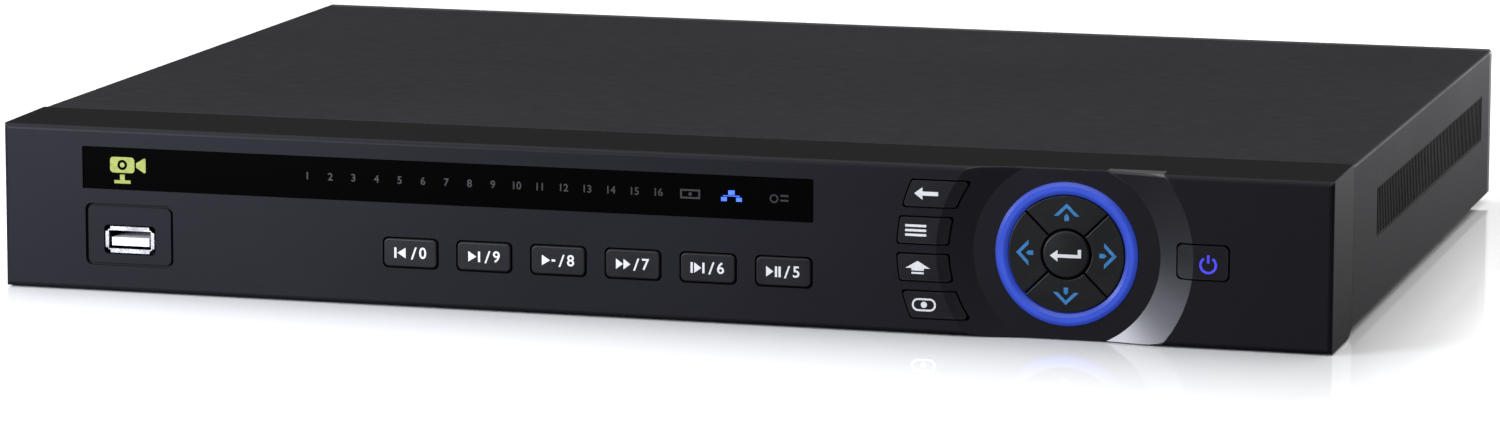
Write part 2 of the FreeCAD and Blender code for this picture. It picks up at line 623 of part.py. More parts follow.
def folded_rear_wall():
    """The rear wall with its edge folded forwards at the sides and the top, flush with the cover."""
    wall = block(-SIDE, SIDE, REAR - REAR_FLANGE, REAR, FLOOR_BOTTOM, TOP)
    corners = [e for e in wall.Edges if abs(e.BoundBox.ZMin - TOP) < 1e-3 and e.BoundBox.YLength > 1]
    wall = wall.makeFillet(BEND, corners)
    return wall.cut(block(
        -COVER_INNER_SIDE, COVER_INNER_SIDE, REAR - REAR_FLANGE - 1, REAR_INNER, FLOOR_BOTTOM - 1, TOP - SHEET
    ))


def base_tray():
    """The folded tray: floor, side flanges, front wall and rear wall, with pressed-in standoffs."""
    inside_bezel = SIDE - WALL - 0.3
    floor = block(-TRAY_SIDE, TRAY_SIDE, COVER_FRONT, REAR_INNER, FLOOR_BOTTOM, FLOOR_TOP)
    nose = block(-inside_bezel, inside_bezel, FRONT_WALL, COVER_FRONT, FLOOR_BOTTOM, FLOOR_TOP)
    front = block(-inside_bezel, inside_bezel, FRONT_WALL, FRONT_WALL + SHEET, FLOOR_BOTTOM, TOP - WALL - 0.4)
    rear = folded_rear_wall()
    sides = [block(x, x + SHEET, COVER_FRONT, REAR_INNER, FLOOR_BOTTOM, FLOOR_BOTTOM + 13)
             for x in (-TRAY_SIDE, TRAY_SIDE - SHEET)]
    posts = [rod(x, y, FLOOR_TOP - 0.5, 3.0, MAIN_BOARD_Z - FLOOR_TOP + 0.5, Z_AXIS) for x, y in BOARD_SCREWS]
    pads = [rod(x, y, FLOOR_TOP - 0.5, 5.0, DRIVE_Z - FLOOR_TOP + 0.5, Z_AXIS) for x, y in DRIVE_SCREWS]
    tray = join([floor, nose, front, rear] + sides + posts + pads)
    cuts = rear_openings()
    cuts += [rod(x, y, FLOOR_TOP - 2, 1.4, 8, Z_AXIS) for x, y in BOARD_SCREWS]
    cuts += [rod(x, y, FLOOR_BOTTOM - 1, 1.8, 8, Z_AXIS) for x, y in DRIVE_SCREWS]
    cuts.append(block(RIBBON_X - 12, RIBBON_X + 12, FRONT_WALL - 1, FRONT_WALL + 2, 26.0, 34.0))
    for side in (-1, 1):
        for i in range(9):
            x = side * 90.0 + 8.0 * (i - 4)
            slot = block(x - 1.5, x + 1.5, -30.0, 12.0, FLOOR_BOTTOM - 1, FLOOR_TOP + 1)
            cuts.append(rounded(slot, 1.4, Z_AXIS))
    return tray.cut(Part.makeCompound(cuts))


def feet():
    """Four rubber feet stuck under the tray."""
    made = []
    for x, y in FOOT_PLACES:
        foot = rod(x, y, 0, 9.0, FOOT_HEIGHT, Z_AXIS)
        made.append(foot.makeFillet(0.8, [e for e in foot.Edges if abs(e.BoundBox.ZMax) < 1e-3]))
    return Part.makeCompound(made)


# ---- Main board and what is on it ---------------------------------------------------------------------
def main_board():
    """The main circuit board along the rear wall."""
    board = block(
        -MAIN_BOARD_SIDE, MAIN_BOARD_SIDE, MAIN_BOARD_FRONT, REAR_INNER - 0.6, MAIN_BOARD_Z, MAIN_BOARD_TOP
    )
    holes = [rod(x, y, MAIN_BOARD_Z - 1, 1.7, 4, Z_AXIS) for x, y in BOARD_SCREWS]
    return board.cut(Part.makeCompound(holes))


def board_screws():
    """The screws of the main board and of the key board."""
    made = [pan_screw(x, y, MAIN_BOARD_TOP, V(0, 0, -1), 4.5, shank=1.35) for x, y in BOARD_SCREWS]
    back = BOARD_FRONT + BOARD_THICK
    made += [pan_screw(x, back, z, V(0, -1, 0), 5.5, shank=1.35, head_height=1.4)
             for x, z in KEY_BOARD_SCREWS]
    return Part.makeCompound(made)


def processor():
    """The main chip."""
    x, y, size = CHIP
    half = size / 2
    return block(x - half, x + half, y - half, y + half, MAIN_BOARD_TOP, MAIN_BOARD_TOP + CHIP_HEIGHT)


def heat_sink():
    """A finned aluminium block on the processor."""
    x, y, size = CHIP
    half = size / 2 + 4
    base_z = MAIN_BOARD_TOP + CHIP_HEIGHT
    pieces = [block(x - half, x + half, y - half, y + half, base_z, base_z + 3)]
    fins = 9
    pitch = (2 * half - 1.4) / (fins - 1)
    for i in range(fins):
        left = x - half + pitch * i
        pieces.append(block(left, left + 1.4, y - half, y + half, base_z + 3, base_z + 15))
    return join(pieces)


def video_chips():
    """Four converter chips in line behind the video sockets and two memory chips."""
    made = []
    for x in (-62.0, -94.0, -126.0, -156.0):
        made.append(block(x - 7, x + 7, 74, 88, MAIN_BOARD_TOP, MAIN_BOARD_TOP + 1.4))
    for x in (26.0, 98.0):
        made.append(block(x - 5, x + 5, 58, 74, MAIN_BOARD_TOP, MAIN_BOARD_TOP + 1.2))
    return Part.makeCompound(made)


def capacitors():
    """Electrolytic capacitors of the power input."""
    made = []
    for x in (118.0, 132.0, 146.0):
        for y in (58.0, 74.0):
            can = rod(x, y, MAIN_BOARD_TOP, 4.0, 11.5, Z_AXIS)
            top_edge = [e for e in can.Edges if abs(e.BoundBox.ZMin - MAIN_BOARD_TOP - 11.5) < 1e-3]
            made.append(can.makeFillet(0.6, top_edge))
    return Part.makeCompound(made)


def coin_cell():
    """The clock's coin cell."""
    return rod(20.0, 100.0, MAIN_BOARD_TOP + 0.6, 10.0, 3.2, Z_AXIS)


def folded_strip(path, thickness, x, width, bend):
    """A flat cable of rectangular section along a path of (y, z) points, with rounded folds."""
    normals = []
    for (y0, z0), (y1, z1) in zip(path, path[1:]):
        length = math.hypot(y1 - y0, z1 - z0)
        normals.append((-(z1 - z0) / length, (y1 - y0) / length))
    upper = []
    for i, (y, z) in enumerate(path):
        before = normals[max(i - 1, 0)]
        after = normals[min(i, len(normals) - 1)]
        scale = thickness / (1 + before[0] * after[0] + before[1] * after[1])
        upper.append((y + (before[0] + after[0]) * scale, z + (before[1] + after[1]) * scale))
    strip = cross_prism(path + upper[::-1], x - width / 2, x + width / 2)
    folds = []
    ends = [path[0], upper[0], path[-1], upper[-1]]
    for edge in strip.Edges:
        if edge.BoundBox.XLength < width - 0.01:
            continue
        place = edge.CenterOfMass
        if all(math.hypot(place.y - y, place.z - z) > 0.01 for y, z in ends):
            folds.append(edge)
    return strip.makeFillet(bend, folds)


def front_ribbon():
    """The flat cable from the key board to the main board."""
    start = BOARD_FRONT + BOARD_THICK
    path = [(start, 30.0), (FRONT_WALL + 12, 30.0), (-20.0, 18.0), (26.0, 18.0), (26.0, MAIN_BOARD_TOP)]
    return folded_strip(path, 0.9, RIBBON_X, 20.0, 1.2)


# ---- Hard drive ---------------------------------------------------------------------------------------
def drive_base():
    """The drive's cast body, open at the top for the disks and the arm."""
    length, width, height = DRIVE_SIZE
    top = DRIVE_TOP - DRIVE_LID
    body = rounded(
        block(DRIVE_X, DRIVE_X + length, DRIVE_Y, DRIVE_Y + width, DRIVE_Z + 1.6, top), 3.0, Z_AXIS
    )
    bay = rod(SPINDLE[0], SPINDLE[1], DRIVE_Z + 8, 48.6, height, Z_AXIS)
    arm_bay = rounded(
        block(SPINDLE[0] + 10, DRIVE_X + length - 5, DRIVE_Y + 5, DRIVE_Y + width - 5, DRIVE_Z + 8, top + 5),
        6.0, Z_AXIS,
    )
    body = body.cut(bay).cut(arm_bay)
    body = join([
        body,
        rod(SPINDLE[0], SPINDLE[1], DRIVE_Z + 7, 5.0, 8.0, Z_AXIS),
        rod(ARM_PIVOT[0], ARM_PIVOT[1], DRIVE_Z + 7, 4.0, 14.0, Z_AXIS),
    ])
    feet_pads = [rod(x, y, DRIVE_Z, 3.2, 2.0, Z_AXIS) for x, y in DRIVE_SCREWS]
    body = join([body] + feet_pads)
    holes = [rod(x, y, DRIVE_Z - 1, 1.5, 6.5, Z_AXIS) for x, y in DRIVE_SCREWS]
    return body.cut(Part.makeCompound(holes))


def drive_lid():
    """The pressed lid of the drive."""
    length, width, _ = DRIVE_SIZE
    lid = rounded(
        block(DRIVE_X + 0.5, DRIVE_X + length - 0.5, DRIVE_Y + 0.5, DRIVE_Y + width - 0.5,
              DRIVE_TOP - DRIVE_LID, DRIVE_TOP - 0.6),
        3.0, Z_AXIS,
    )
    raised = rod(SPINDLE[0], SPINDLE[1], DRIVE_TOP - 0.8, 44.0, 0.8, Z_AXIS)
    return join([lid, raised])


def drive_platters():
    """Two disks on their hub, turning on the spindle."""
    x, y = SPINDLE
    hub = rod(x, y, DRIVE_Z + 9, 12.5, 13.0, Z_AXIS)
    disks = [rod(x, y, DRIVE_Z + z, 47.5, 1.6, Z_AXIS) for z in (11.0, 17.0)]
    return join([hub] + disks).cut(rod(x, y, DRIVE_Z + 8, 5.05, 7.6, Z_AXIS))


def drive_arm():
    """The head arm between the disks, on its pivot."""
    x, y = ARM_PIVOT
    target = V(SPINDLE[0] + 30.0, SPINDLE[1] + 20.0, 0)
    reach = math.hypot(target.x - x, target.y - y)
    z0 = DRIVE_Z + 13.6
    z1 = DRIVE_Z + 16.0
    hub = rod(x, y, DRIVE_Z + 9.0, 7.5, 11.0, Z_AXIS)
    blade = Part.Face(Part.makePolygon([
        V(0, -5, z0), V(reach, -1.2, z0), V(reach, 1.2, z0), V(0, 5, z0), V(0, -5, z0),
    ])).extrude(V(0, 0, z1 - z0))
    coil = Part.Face(Part.makePolygon([
        V(0, -5, z0), V(0, 5, z0), V(-17, 9, z0), V(-17, -9, z0), V(0, -5, z0),
    ])).extrude(V(0, 0, z1 - z0))
    turn = math.degrees(math.atan2(target.y - y, target.x - x))
    lever = join([blade, coil]).rotated(V(0, 0, 0), Z_AXIS, turn).translated(V(x, y, 0))
    return join([hub, lever]).cut(rod(x, y, DRIVE_Z + 8, 4.05, 14.0, Z_AXIS))


def drive_board():
    """The drive's own circuit board, under its body."""
    width = DRIVE_SIZE[1]
    return block(
        DRIVE_X + 50, DRIVE_X + 112, DRIVE_Y + 8, DRIVE_Y + width - 8, DRIVE_Z + 0.2, DRIVE_Z + 1.6
    )


def drive_screws():
    """Four screws up through the tray into the drive."""
    made = [pan_screw(x, y, FLOOR_BOTTOM, Z_AXIS, 7.5, head=3.4, head_height=1.5) for x, y in DRIVE_SCREWS]
    return Part.makeCompound(made)


# ---- Fan ----------------------------------------------------------------------------------------------
def fan_frame():
    """The fan's square frame with its motor hub on three arms."""
    half = FAN_SIZE / 2
    back = FAN_X + FAN_DEPTH
    frame = rounded(block(FAN_X, back, FAN_Y - half, FAN_Y + half, FAN_Z - half, FAN_Z + half), 2.5, X_AXIS)
    frame = frame.cut(rod(FAN_X - 1, FAN_Y, FAN_Z, FAN_BORE, FAN_DEPTH + 2, X_AXIS))
    hub = rod(back - 2, FAN_Y, FAN_Z, FAN_HUB, 2.0, X_AXIS)
    arms = []
    for i in range(3):
        arm = block(back - 2, back, FAN_Y - 1.2, FAN_Y + 1.2, FAN_Z + FAN_HUB - 1, FAN_Z + FAN_BORE + 0.5)
        arms.append(arm.rotated(V(0, FAN_Y, FAN_Z), X_AXIS, 120 * i + 20))
    frame = join([frame, hub] + arms)
    bearing = rod(back - 3, FAN_Y, FAN_Z, 1.55, 4, X_AXIS)
    corners = [rod(FAN_X - 1, FAN_Y + dy, FAN_Z + dz, 1.7, FAN_DEPTH + 2, X_AXIS)
               for dy in (-16, 16) for dz in (-16, 16)]
    return frame.cut(Part.makeCompound([bearing] + corners))


def fan_rotor():
    """Hub, shaft and seven pitched blades."""
    front = FAN_X + 1.0
    depth = FAN_DEPTH - 3.4
    hub = rod(front, FAN_Y, FAN_Z, FAN_HUB - 0.3, depth, X_AXIS)
    shaft = rod(front, FAN_Y, FAN_Z, 1.5, FAN_DEPTH - 1.2, X_AXIS)
    pieces = [hub, shaft]
    tip = FAN_BORE - 0.7
    ring = rod(front, FAN_Y, FAN_Z, tip, depth, X_AXIS)
    for i in range(7):
        blade = Part.makeBox(1.1, 9.0, tip + 2, V(-0.55, -4.5, FAN_HUB - 1.5))
        blade = blade.rotated(V(0, 0, 0), Z_AXIS, 52)
        blade = blade.translated(V(front + depth / 2, FAN_Y, FAN_Z))
        blade = blade.rotated(V(0, FAN_Y, FAN_Z), X_AXIS, 360 / 7 * i)
        pieces.append(blade.common(ring))
    return join(pieces)


# ---- Sockets on the rear wall -------------------------------------------------------------------------
def video_jacks():
    """Sixteen bayonet sockets: a barrel with two lugs, and the contact tube inside it."""
    start = REAR_INNER - 0.5
    lug_y = SOCKET_END - 4.0
    barrel = rod(0, start, 0, BNC_RADIUS, SOCKET_END - start, Y_AXIS)
    barrel = barrel.makeFillet(0.35, edges_at_y(barrel, SOCKET_END))
    collar = rod(0, REAR, 0, 6.2, 1.0, Y_AXIS)
    lugs = [rod(0, lug_y, z, 1.0, 1.4, Z_AXIS) for z in (BNC_RADIUS - 0.5, -BNC_RADIUS - 0.9)]
    barrel = join([barrel, collar] + lugs)
    barrel = barrel.cut(rod(0, REAR, 0, BNC_BORE, SOCKET_REACH + 1, Y_AXIS))
    contact = rod(0, REAR + 2, 0, 1.1, SOCKET_REACH - 4.2, Y_AXIS)
    contact = contact.cut(rod(0, REAR + 4, 0, 0.65, SOCKET_REACH, Y_AXIS))
    made = []
    for x, z in VIDEO_PLACES:
        made += [barrel.translated(V(x, 0, z)), contact.translated(V(x, 0, z))]
    return Part.makeCompound(made)


def video_insulators():
    """The white insulator in each video socket."""
    profile = [
        (1.15, REAR + 2), (1.15, SOCKET_END - 2.4), (2.4, SOCKET_END - 2.4), (2.4, REAR + 2),
    ]
    sleeve = turned(profile, 0, 0)
    foot = rod(0, REAR, 0, BNC_BORE, 2.0, Y_AXIS)
    piece = join([sleeve, foot])
    return Part.makeCompound([piece.translated(V(x, 0, z)) for x, z in VIDEO_PLACES])


def jack_blocks():
    """The moulded blocks that carry the video and audio sockets on the board."""
    made = []
    back = REAR_INNER - 0.1
    for x in VIDEO_XS:
        body = block(x - 7.6, x + 7.6, back - 20, back, MAIN_BOARD_TOP, 39.6)
        seats = [rod(x, back - 0.5, z, BNC_RADIUS + 0.05, 1, Y_AXIS) for z in JACK_ROWS]
        made.append(body.cut(Part.makeCompound(seats)))
    for x in AUDIO_XS:
        body = block(x - 6.6, x + 6.6, back - 14, back, MAIN_BOARD_TOP, 38.4)
        seats = [rod(x, back - 0.5, z, AUDIO_RADIUS + 0.05, 1, Y_AXIS) for z in (16.5, 32.0)]
        made.append(body.cut(Part.makeCompound(seats)))
    return Part.makeCompound(made)


def audio_jacks():
    """Four phono sockets: a plated ring and the contact cup inside it."""
    start = REAR_INNER - 0.5
    end = REAR + AUDIO_REACH
    ring = rod(0, start, 0, AUDIO_RADIUS, end - start, Y_AXIS)
    ring = ring.cut(rod(0, REAR + 0.5, 0, 3.5, AUDIO_REACH, Y_AXIS))
    cup = rod(0, REAR + 0.5, 0, 1.9, AUDIO_REACH - 0.7, Y_AXIS)
    cup = cup.cut(rod(0, REAR + 1.5, 0, 1.65, AUDIO_REACH, Y_AXIS))
    socket = join([ring, cup])
    return Part.makeCompound([socket.translated(V(x, 0, z)) for x, z in AUDIO_PAIRS])


def audio_collars():
    """The coloured collar around each phono socket's contact."""
    profile = [(1.95, REAR + 0.5), (1.95, REAR + AUDIO_REACH - 0.8), (3.3, REAR + AUDIO_REACH - 0.8),
               (3.3, REAR + 0.5)]
    collar = turned(profile, 0, 0)
    return Part.makeCompound([collar.translated(V(x, 0, z)) for x, z in AUDIO_PAIRS])


def d_outline(x, z, width, height, y0, y1):
    """A D-shaped prism, wider at the top."""
    lean = 0.9
    half = width / 2
    points = [(x - half, z + height / 2), (x + half, z + height / 2),
              (x + half - lean, z - height / 2), (x - half + lean, z - height / 2)]
    return rounded(upright_prism(points, y0, y1), 1.6, Y_AXIS)


def vga_port():
    """The VGA socket's plated flange and D-shell, and its two hexagonal screw posts."""
    flange = plate(VGA_X, VGA_Z, 31.0, 12.4, REAR + 0.05, REAR + 0.85, 1.5)
    shell = d_outline(VGA_X, VGA_Z, 17.0, 8.4, REAR - 8, REAR + 6.2)
    body = join([flange, shell]).cut(d_outline(VGA_X, VGA_Z, 16.2, 7.6, REAR - 7.4, REAR + 8))
    threads = [rod(VGA_X + dx, REAR - 4, VGA_Z, VGA_THREAD + 0.6, 12, Y_AXIS)
               for dx in (-VGA_PITCH / 2, VGA_PITCH / 2)]
    body = body.cut(Part.makeCompound(threads))
    posts = []
    for dx in (-VGA_PITCH / 2, VGA_PITCH / 2):
        x = VGA_X + dx
        post = join([
            hexagon(x, VGA_Z, 4.8, REAR + 0.85, REAR + 5.85),
            rod(x, REAR - 3, VGA_Z, 1.9, 4.0, Y_AXIS),
        ])
        posts.append(post.cut(rod(x, REAR + 0.35, VGA_Z, VGA_THREAD, 8, Y_AXIS)))
    return Part.makeCompound([body] + posts)


def hdmi_port():
    """The HDMI socket's plated shell."""
    shell = plate(HDMI_X, HDMI_Z, 15.0, 5.6, REAR - 10, REAR + 1.2, 0.6)
    return shell.cut(block(HDMI_X - 7.1, HDMI_X + 7.1, REAR - 9.6, REAR + 2, HDMI_Z - 2.35, HDMI_Z + 2.35))


def rear_usb_port():
    """The plated double USB socket on the rear wall."""
    return usb_shell(REAR_USB_X, REAR_USB_Z, REAR + 0.9, 13.0, 1, rows=(0.0, 7.0))


def ethernet_port():
    """The shielded network socket."""
    x = NETWORK_X
    shell = block(x - 8.0, x + 8.0, REAR - 16, REAR + 0.9, PORT_BASE, PORT_BASE + 13.5)
    mouth = block(x - 5.9, x + 5.9, REAR - 12, REAR + 2, PORT_BASE + 3.2, PORT_BASE + 10.4)
    notch = block(x - 3.0, x + 3.0, REAR - 12, REAR + 2, PORT_BASE + 1.4, PORT_BASE + 4)
    return shell.cut(join([mouth, notch]))


def port_insulators():
    """The moulded inserts of the VGA, HDMI and rear USB sockets."""
    insert = d_outline(VGA_X, VGA_Z, 15.6, 7.0, REAR - 7.4, REAR + 5.4)
    holes = []
    for row in (-1, 0, 1):
        for column in range(5):
            x = VGA_X + 2.3 * (column - 2) + (0.6 if row == 0 else -0.55)
            holes.append(rod(x, REAR, VGA_Z + 2.0 * row, 0.55, 8, Y_AXIS))
    insert = insert.cut(Part.makeCompound(holes))
    tongue = block(HDMI_X - 6.0, HDMI_X + 6.0, REAR - 9.6, REAR + 0.2, HDMI_Z - 0.2, HDMI_Z + 1.0)
    made = [insert, tongue]
    for row in (0.0, 7.0):
        z = REAR_USB_Z + row
        made.append(block(REAR_USB_X - 5.5, REAR_USB_X + 5.5, REAR - 11.5, REAR - 0.4, z - 0.2, z + 1.6))
    return Part.makeCompound(made)


def terminal_block():
    """The eight-way screw terminal for alarms and serial lines."""
    y1 = REAR + TERMINAL_DEPTH
    body = block(TERMINAL_X - 15.2, TERMINAL_X + 15.2, REAR - 12, y1, PORT_BASE, 21.0)
    cuts = []
    for i in range(8):
        x = TERMINAL_X + 3.7 * (i - 3.5)
        cuts.append(block(x - 1.2, x + 1.2, REAR, y1 + 1, 12.2, 15.0))
        cuts.append(rod(x, REAR + TERMINAL_DEPTH / 2, 17.5, 1.25, 5, Z_AXIS))
    step = cross_prism([(y1 - 2.5, 22.0), (y1 + 1, 22.0), (y1 + 1, 17.5)], TERMINAL_X - 20, TERMINAL_X + 20)
    return body.cut(Part.makeCompound(cuts)).cut(step)


def dc_inlet():
    """The barrel socket of the power supply: its housing and its centre pin."""
    body = plate(DC_X, DC_Z, 9.0, 10.8, REAR - 13, REAR + 1.2, 0.6)
    body = body.cut(rod(DC_X, REAR - 9, DC_Z, 3.15, 12, Y_AXIS))
    pin = rod(DC_X, REAR - 9, DC_Z, 1.05, 9.0, Y_AXIS)
    return Part.makeCompound([body, pin])


def rocker_frame():
    """The frame of the mains rocker switch, snapped into the rear wall."""
    flange = plate(ROCKER_X, MIDDLE, 15.0, 21.0, REAR + 0.05, REAR + 1.8, 1.2)
    body = block(ROCKER_X - 6.5, ROCKER_X + 6.5, REAR - 13, REAR + 0.05, MIDDLE - 9.5, MIDDLE + 9.5)
    well = block(ROCKER_X - 5.3, ROCKER_X + 5.3, REAR - 6.5, REAR + 3, MIDDLE - 7.9, MIDDLE + 7.9)
    bearing = rod(ROCKER_X - 6.1, PIVOT_Y, MIDDLE, TRUNNION + 0.05, 12.2, X_AXIS)
    return join([flange, body]).cut(well).cut(bearing)


def power_rocker():
    """The rocker, tipped half its swing so that its upper end is pressed in."""
    half = 7.2
    section = [(3.2, -half), (2.0, 0.0), (3.2, half), (-0.8, half), (-3.4, 4.0), (-3.4, -4.0), (-0.8, -half)]
    body = cross_prism([(PIVOT_Y + y, MIDDLE + z) for y, z in section], ROCKER_X - 5.0, ROCKER_X + 5.0)
    pins = rod(ROCKER_X - 5.9, PIVOT_Y, MIDDLE, TRUNNION, 11.8, X_AXIS)
    return join([body, pins]).rotated(V(0, PIVOT_Y, MIDDLE), X_AXIS, ROCKER_SWING / 2)


def panel_screws():
    """The screws that hold the cover to the rear wall, and the earth screw."""
    made = [pan_screw(x, REAR, COVER_SCREW_Z, V(0, -1, 0), 4.5) for x in COVER_SCREW_XS]
    made.append(pan_screw(GROUND_SCREW[0], REAR, GROUND_SCREW[1], V(0, -1, 0), 4.5, head=3.4))
    return Part.makeCompound(made)


# ---- Writing the files --------------------------------------------------------------------------------
def export(name, shape):
    """Writes one sub-part after testing that it is a valid closed solid or a group of them."""
    if not shape.isValid() or any(s.Volume <= 0 for s in shape.Solids):
        raise SystemExit(f"{name} is not a valid solid")
    shape.exportStep(os.path.join("parts", name + ".step"))


def main():
    os.makedirs("parts", exist_ok=True)
    makers = [
        front_bezel, crescent_trim, display_window, light_ring, enter_key, power_key, front_usb_shell,
        front_usb_tongue, key_board, tact_switches, indicator_leds, top_cover, vent_grilles, base_tray, feet,
        main_board, board_screws, processor, heat_sink, video_chips, capacitors, coin_cell, front_ribbon,
        drive_base, drive_lid, drive_platters, drive_arm, drive_board, drive_screws, fan_frame, fan_rotor,
        video_jacks, video_insulators, jack_blocks, audio_jacks, audio_collars, vga_port, hdmi_port,
        rear_usb_port, ethernet_port, port_insulators, terminal_block, dc_inlet, rocker_frame, power_rocker,
        panel_screws,
    ]
    for maker in makers:
        export(maker.__name__, maker())
    for name in TRANSPORT_KEYS:
        export(name, transport_key(name))
    for name in FUNCTION_KEYS:
        export(name, function_key(name))
    for name in PAD_ANGLES:
        export(name, pad_key(name))


main()
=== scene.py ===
import math

import bmesh
import bpy
from mathutils import Matrix, Vector
from mathutils.bvhtree import BVHTree


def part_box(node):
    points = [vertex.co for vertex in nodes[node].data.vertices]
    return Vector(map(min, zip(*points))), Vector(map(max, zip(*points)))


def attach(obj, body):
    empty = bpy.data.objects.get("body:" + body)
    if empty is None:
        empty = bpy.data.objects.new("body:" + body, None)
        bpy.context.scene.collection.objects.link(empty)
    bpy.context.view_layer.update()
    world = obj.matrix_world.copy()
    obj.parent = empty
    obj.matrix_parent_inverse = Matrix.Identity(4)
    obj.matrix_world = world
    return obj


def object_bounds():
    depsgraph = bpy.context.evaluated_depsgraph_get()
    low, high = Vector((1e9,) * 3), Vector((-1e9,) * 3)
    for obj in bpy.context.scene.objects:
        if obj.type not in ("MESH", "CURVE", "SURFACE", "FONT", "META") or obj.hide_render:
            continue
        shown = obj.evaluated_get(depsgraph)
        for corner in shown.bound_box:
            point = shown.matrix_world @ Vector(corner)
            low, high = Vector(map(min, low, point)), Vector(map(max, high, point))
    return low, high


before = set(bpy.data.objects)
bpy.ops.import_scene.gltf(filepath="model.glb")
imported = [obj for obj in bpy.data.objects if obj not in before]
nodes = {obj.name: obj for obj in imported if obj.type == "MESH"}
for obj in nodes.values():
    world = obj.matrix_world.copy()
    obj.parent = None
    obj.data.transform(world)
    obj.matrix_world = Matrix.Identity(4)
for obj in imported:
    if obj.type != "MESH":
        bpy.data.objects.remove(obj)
cad_low, cad_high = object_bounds()

# ---- Camera, lights and table -------------------------------------------------------------------------
# The recorder stands on a pale table in an even white studio. The camera looks from the front right and a
# little above, through a long lens, and two soft boxes shape the front and the right side.
bezel_low, bezel_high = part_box("front_bezel")
YAW = math.radians(15.637)
PITCH = math.radians(9.269)
ROLL = math.radians(0.148)
LENS_MM = 144.0
ASIDE, RAISED, AWAY = 0.02754, 0.02758, 1.6285
to_camera = Vector((math.sin(YAW) * math.cos(PITCH), -math.cos(YAW) * math.cos(PITCH), math.sin(PITCH)))
level = Vector((math.cos(YAW), math.sin(YAW), 0))
to_right = level * math.cos(ROLL) + to_camera.cross(level) * math.sin(ROLL)
to_top = to_camera.cross(to_right)
face_foot = Vector((0, bezel_low.y, bezel_low.z))
camera = bpy.data.objects.new("camera", bpy.data.cameras.new("camera"))
camera.data.lens = LENS_MM
camera.data.sensor_width = 36.0
camera.location = face_foot + ASIDE * to_right + RAISED * to_top + AWAY * to_camera
camera.rotation_euler = Matrix((to_right, to_top, to_camera)).transposed().to_euler()
bpy.context.scene.collection.objects.link(camera)
bpy.context.scene.camera = camera
bpy.context.scene.view_settings.view_transform = "Standard"


def add(tree, kind, sockets=None, **settings):
    """A shader node with its settings, and with its inputs set to values or linked to other outputs."""
    made = tree.nodes.new("ShaderNode" + kind)
    for key, value in settings.items():
        setattr(made, key, value)
    for key, value in (sockets or {}).items():
        if isinstance(value, bpy.types.NodeSocket):
            tree.links.new(value, made.inputs[key])
        else:
            made.inputs[key].default_value = value
    return made


def soft_box(name, place, aim, width, height, power, colour):
    """A rectangular area light aimed at a point."""
    light = bpy.data.lights.new(name, "AREA")
    light.shape = "RECTANGLE"
    light.size = width
    light.size_y = height
    light.energy = power
    light.color = colour
    lamp = bpy.data.objects.new(name, light)
    lamp.location = place
    lamp.visible_camera = False
    lamp.rotation_euler = (Vector(aim) - Vector(place)).to_track_quat("-Z", "Y").to_euler()
    bpy.context.scene.collection.objects.link(lamp)


soft_box("left_box", (-0.36, -0.56, 0.16), (-0.18, -0.14, 0.024), 0.3, 0.2, 5.0, (0.84, 0.87, 1.0))
soft_box("side_box", (0.45, 0.55, 0.075), (0.187, 0.06, 0.03), 0.2, 0.1, 1.6, (0.97, 0.97, 1.0))

# The room is dim at the horizon and bright overhead, and its backdrop is white.
HORIZON, OVERHEAD = 0.04, 2.15
world = bpy.data.worlds.new("studio")
world.use_nodes = True
bpy.context.scene.world = world
sky = world.node_tree
height = add(sky, "SeparateXYZ", {0: add(sky, "TexCoord").outputs["Generated"]})
ceiling = add(
    sky, "MapRange", {0: height.outputs[2], 1: 0.5, 2: 0.85, 3: HORIZON, 4: OVERHEAD},
    interpolation_type="SMOOTHSTEP",
)
rays = add(sky, "LightPath").outputs
direct = add(sky, "Math", {0: rays["Is Camera Ray"], 1: rays["Is Singular Ray"]}, operation="MAXIMUM")
seen = add(sky, "Mix", {0: direct.outputs[0], 2: ceiling.outputs[0], 3: 1.0})
sky.links.new(seen.outputs[0], sky.nodes["Background"].inputs["Strength"])
sky.nodes["Background"].inputs["Color"].default_value = (1.0, 1.0, 1.0, 1.0)

TABLE_HALF = 9.0
SHEEN = 0.42
SHEEN_REACH = 0.16
SIDE_FALL = 3.5
table = bpy.data.objects.new("table", bpy.data.meshes.new("table"))
table.data.from_pydata(
    [(x * TABLE_HALF, y * TABLE_HALF, 0) for x, y in ((-1, -1), (1, -1), (1, 1), (-1, 1))], [], [(0, 1, 2, 3)]
)
bpy.context.scene.collection.objects.link(table)
table_top = bpy.data.materials.new("table_top")
table_top.use_nodes = True
board = table_top.node_tree
board.nodes.remove(board.nodes["Principled BSDF"])
bounce = add(board, "BsdfDiffuse", {"Color": (0.12, 0.12, 0.12, 1)})
matt = add(board, "BsdfDiffuse", {"Color": (0.98, 0.98, 0.98, 1)})
sheen = add(board, "BsdfGlossy", {"Color": (1, 1, 1, 1), "Roughness": 0.0})
middle, half = (cad_low + cad_high) / 2, (cad_high - cad_low) / 2
on_table = add(board, "TexCoord").outputs["Object"]
aside = add(board, "VectorMath", {0: on_table, 1: (middle.x, middle.y, 0)}, operation="SUBTRACT")
apart = add(board, "VectorMath", {0: aside.outputs[0]}, operation="ABSOLUTE")
beyond = add(board, "VectorMath", {0: apart.outputs[0], 1: (half.x, half.y, 0)}, operation="SUBTRACT")
outside = add(board, "VectorMath", {0: beyond.outputs[0], 1: (0, 0, 0)}, operation="MAXIMUM")
skewed = add(board, "VectorMath", {0: outside.outputs[0], 1: (SIDE_FALL, 1, 0)}, operation="MULTIPLY")
reach = add(board, "VectorMath", {0: skewed.outputs[0]}, operation="LENGTH")
polish = add(
    board, "MapRange", {0: reach.outputs["Value"], 1: SHEEN_REACH, 2: 0.0, 3: 0.0, 4: SHEEN},
    interpolation_type="SMOOTHSTEP",
)
pale = add(board, "MixShader", {0: polish.outputs[0], 1: matt.outputs[0], 2: sheen.outputs[0]})
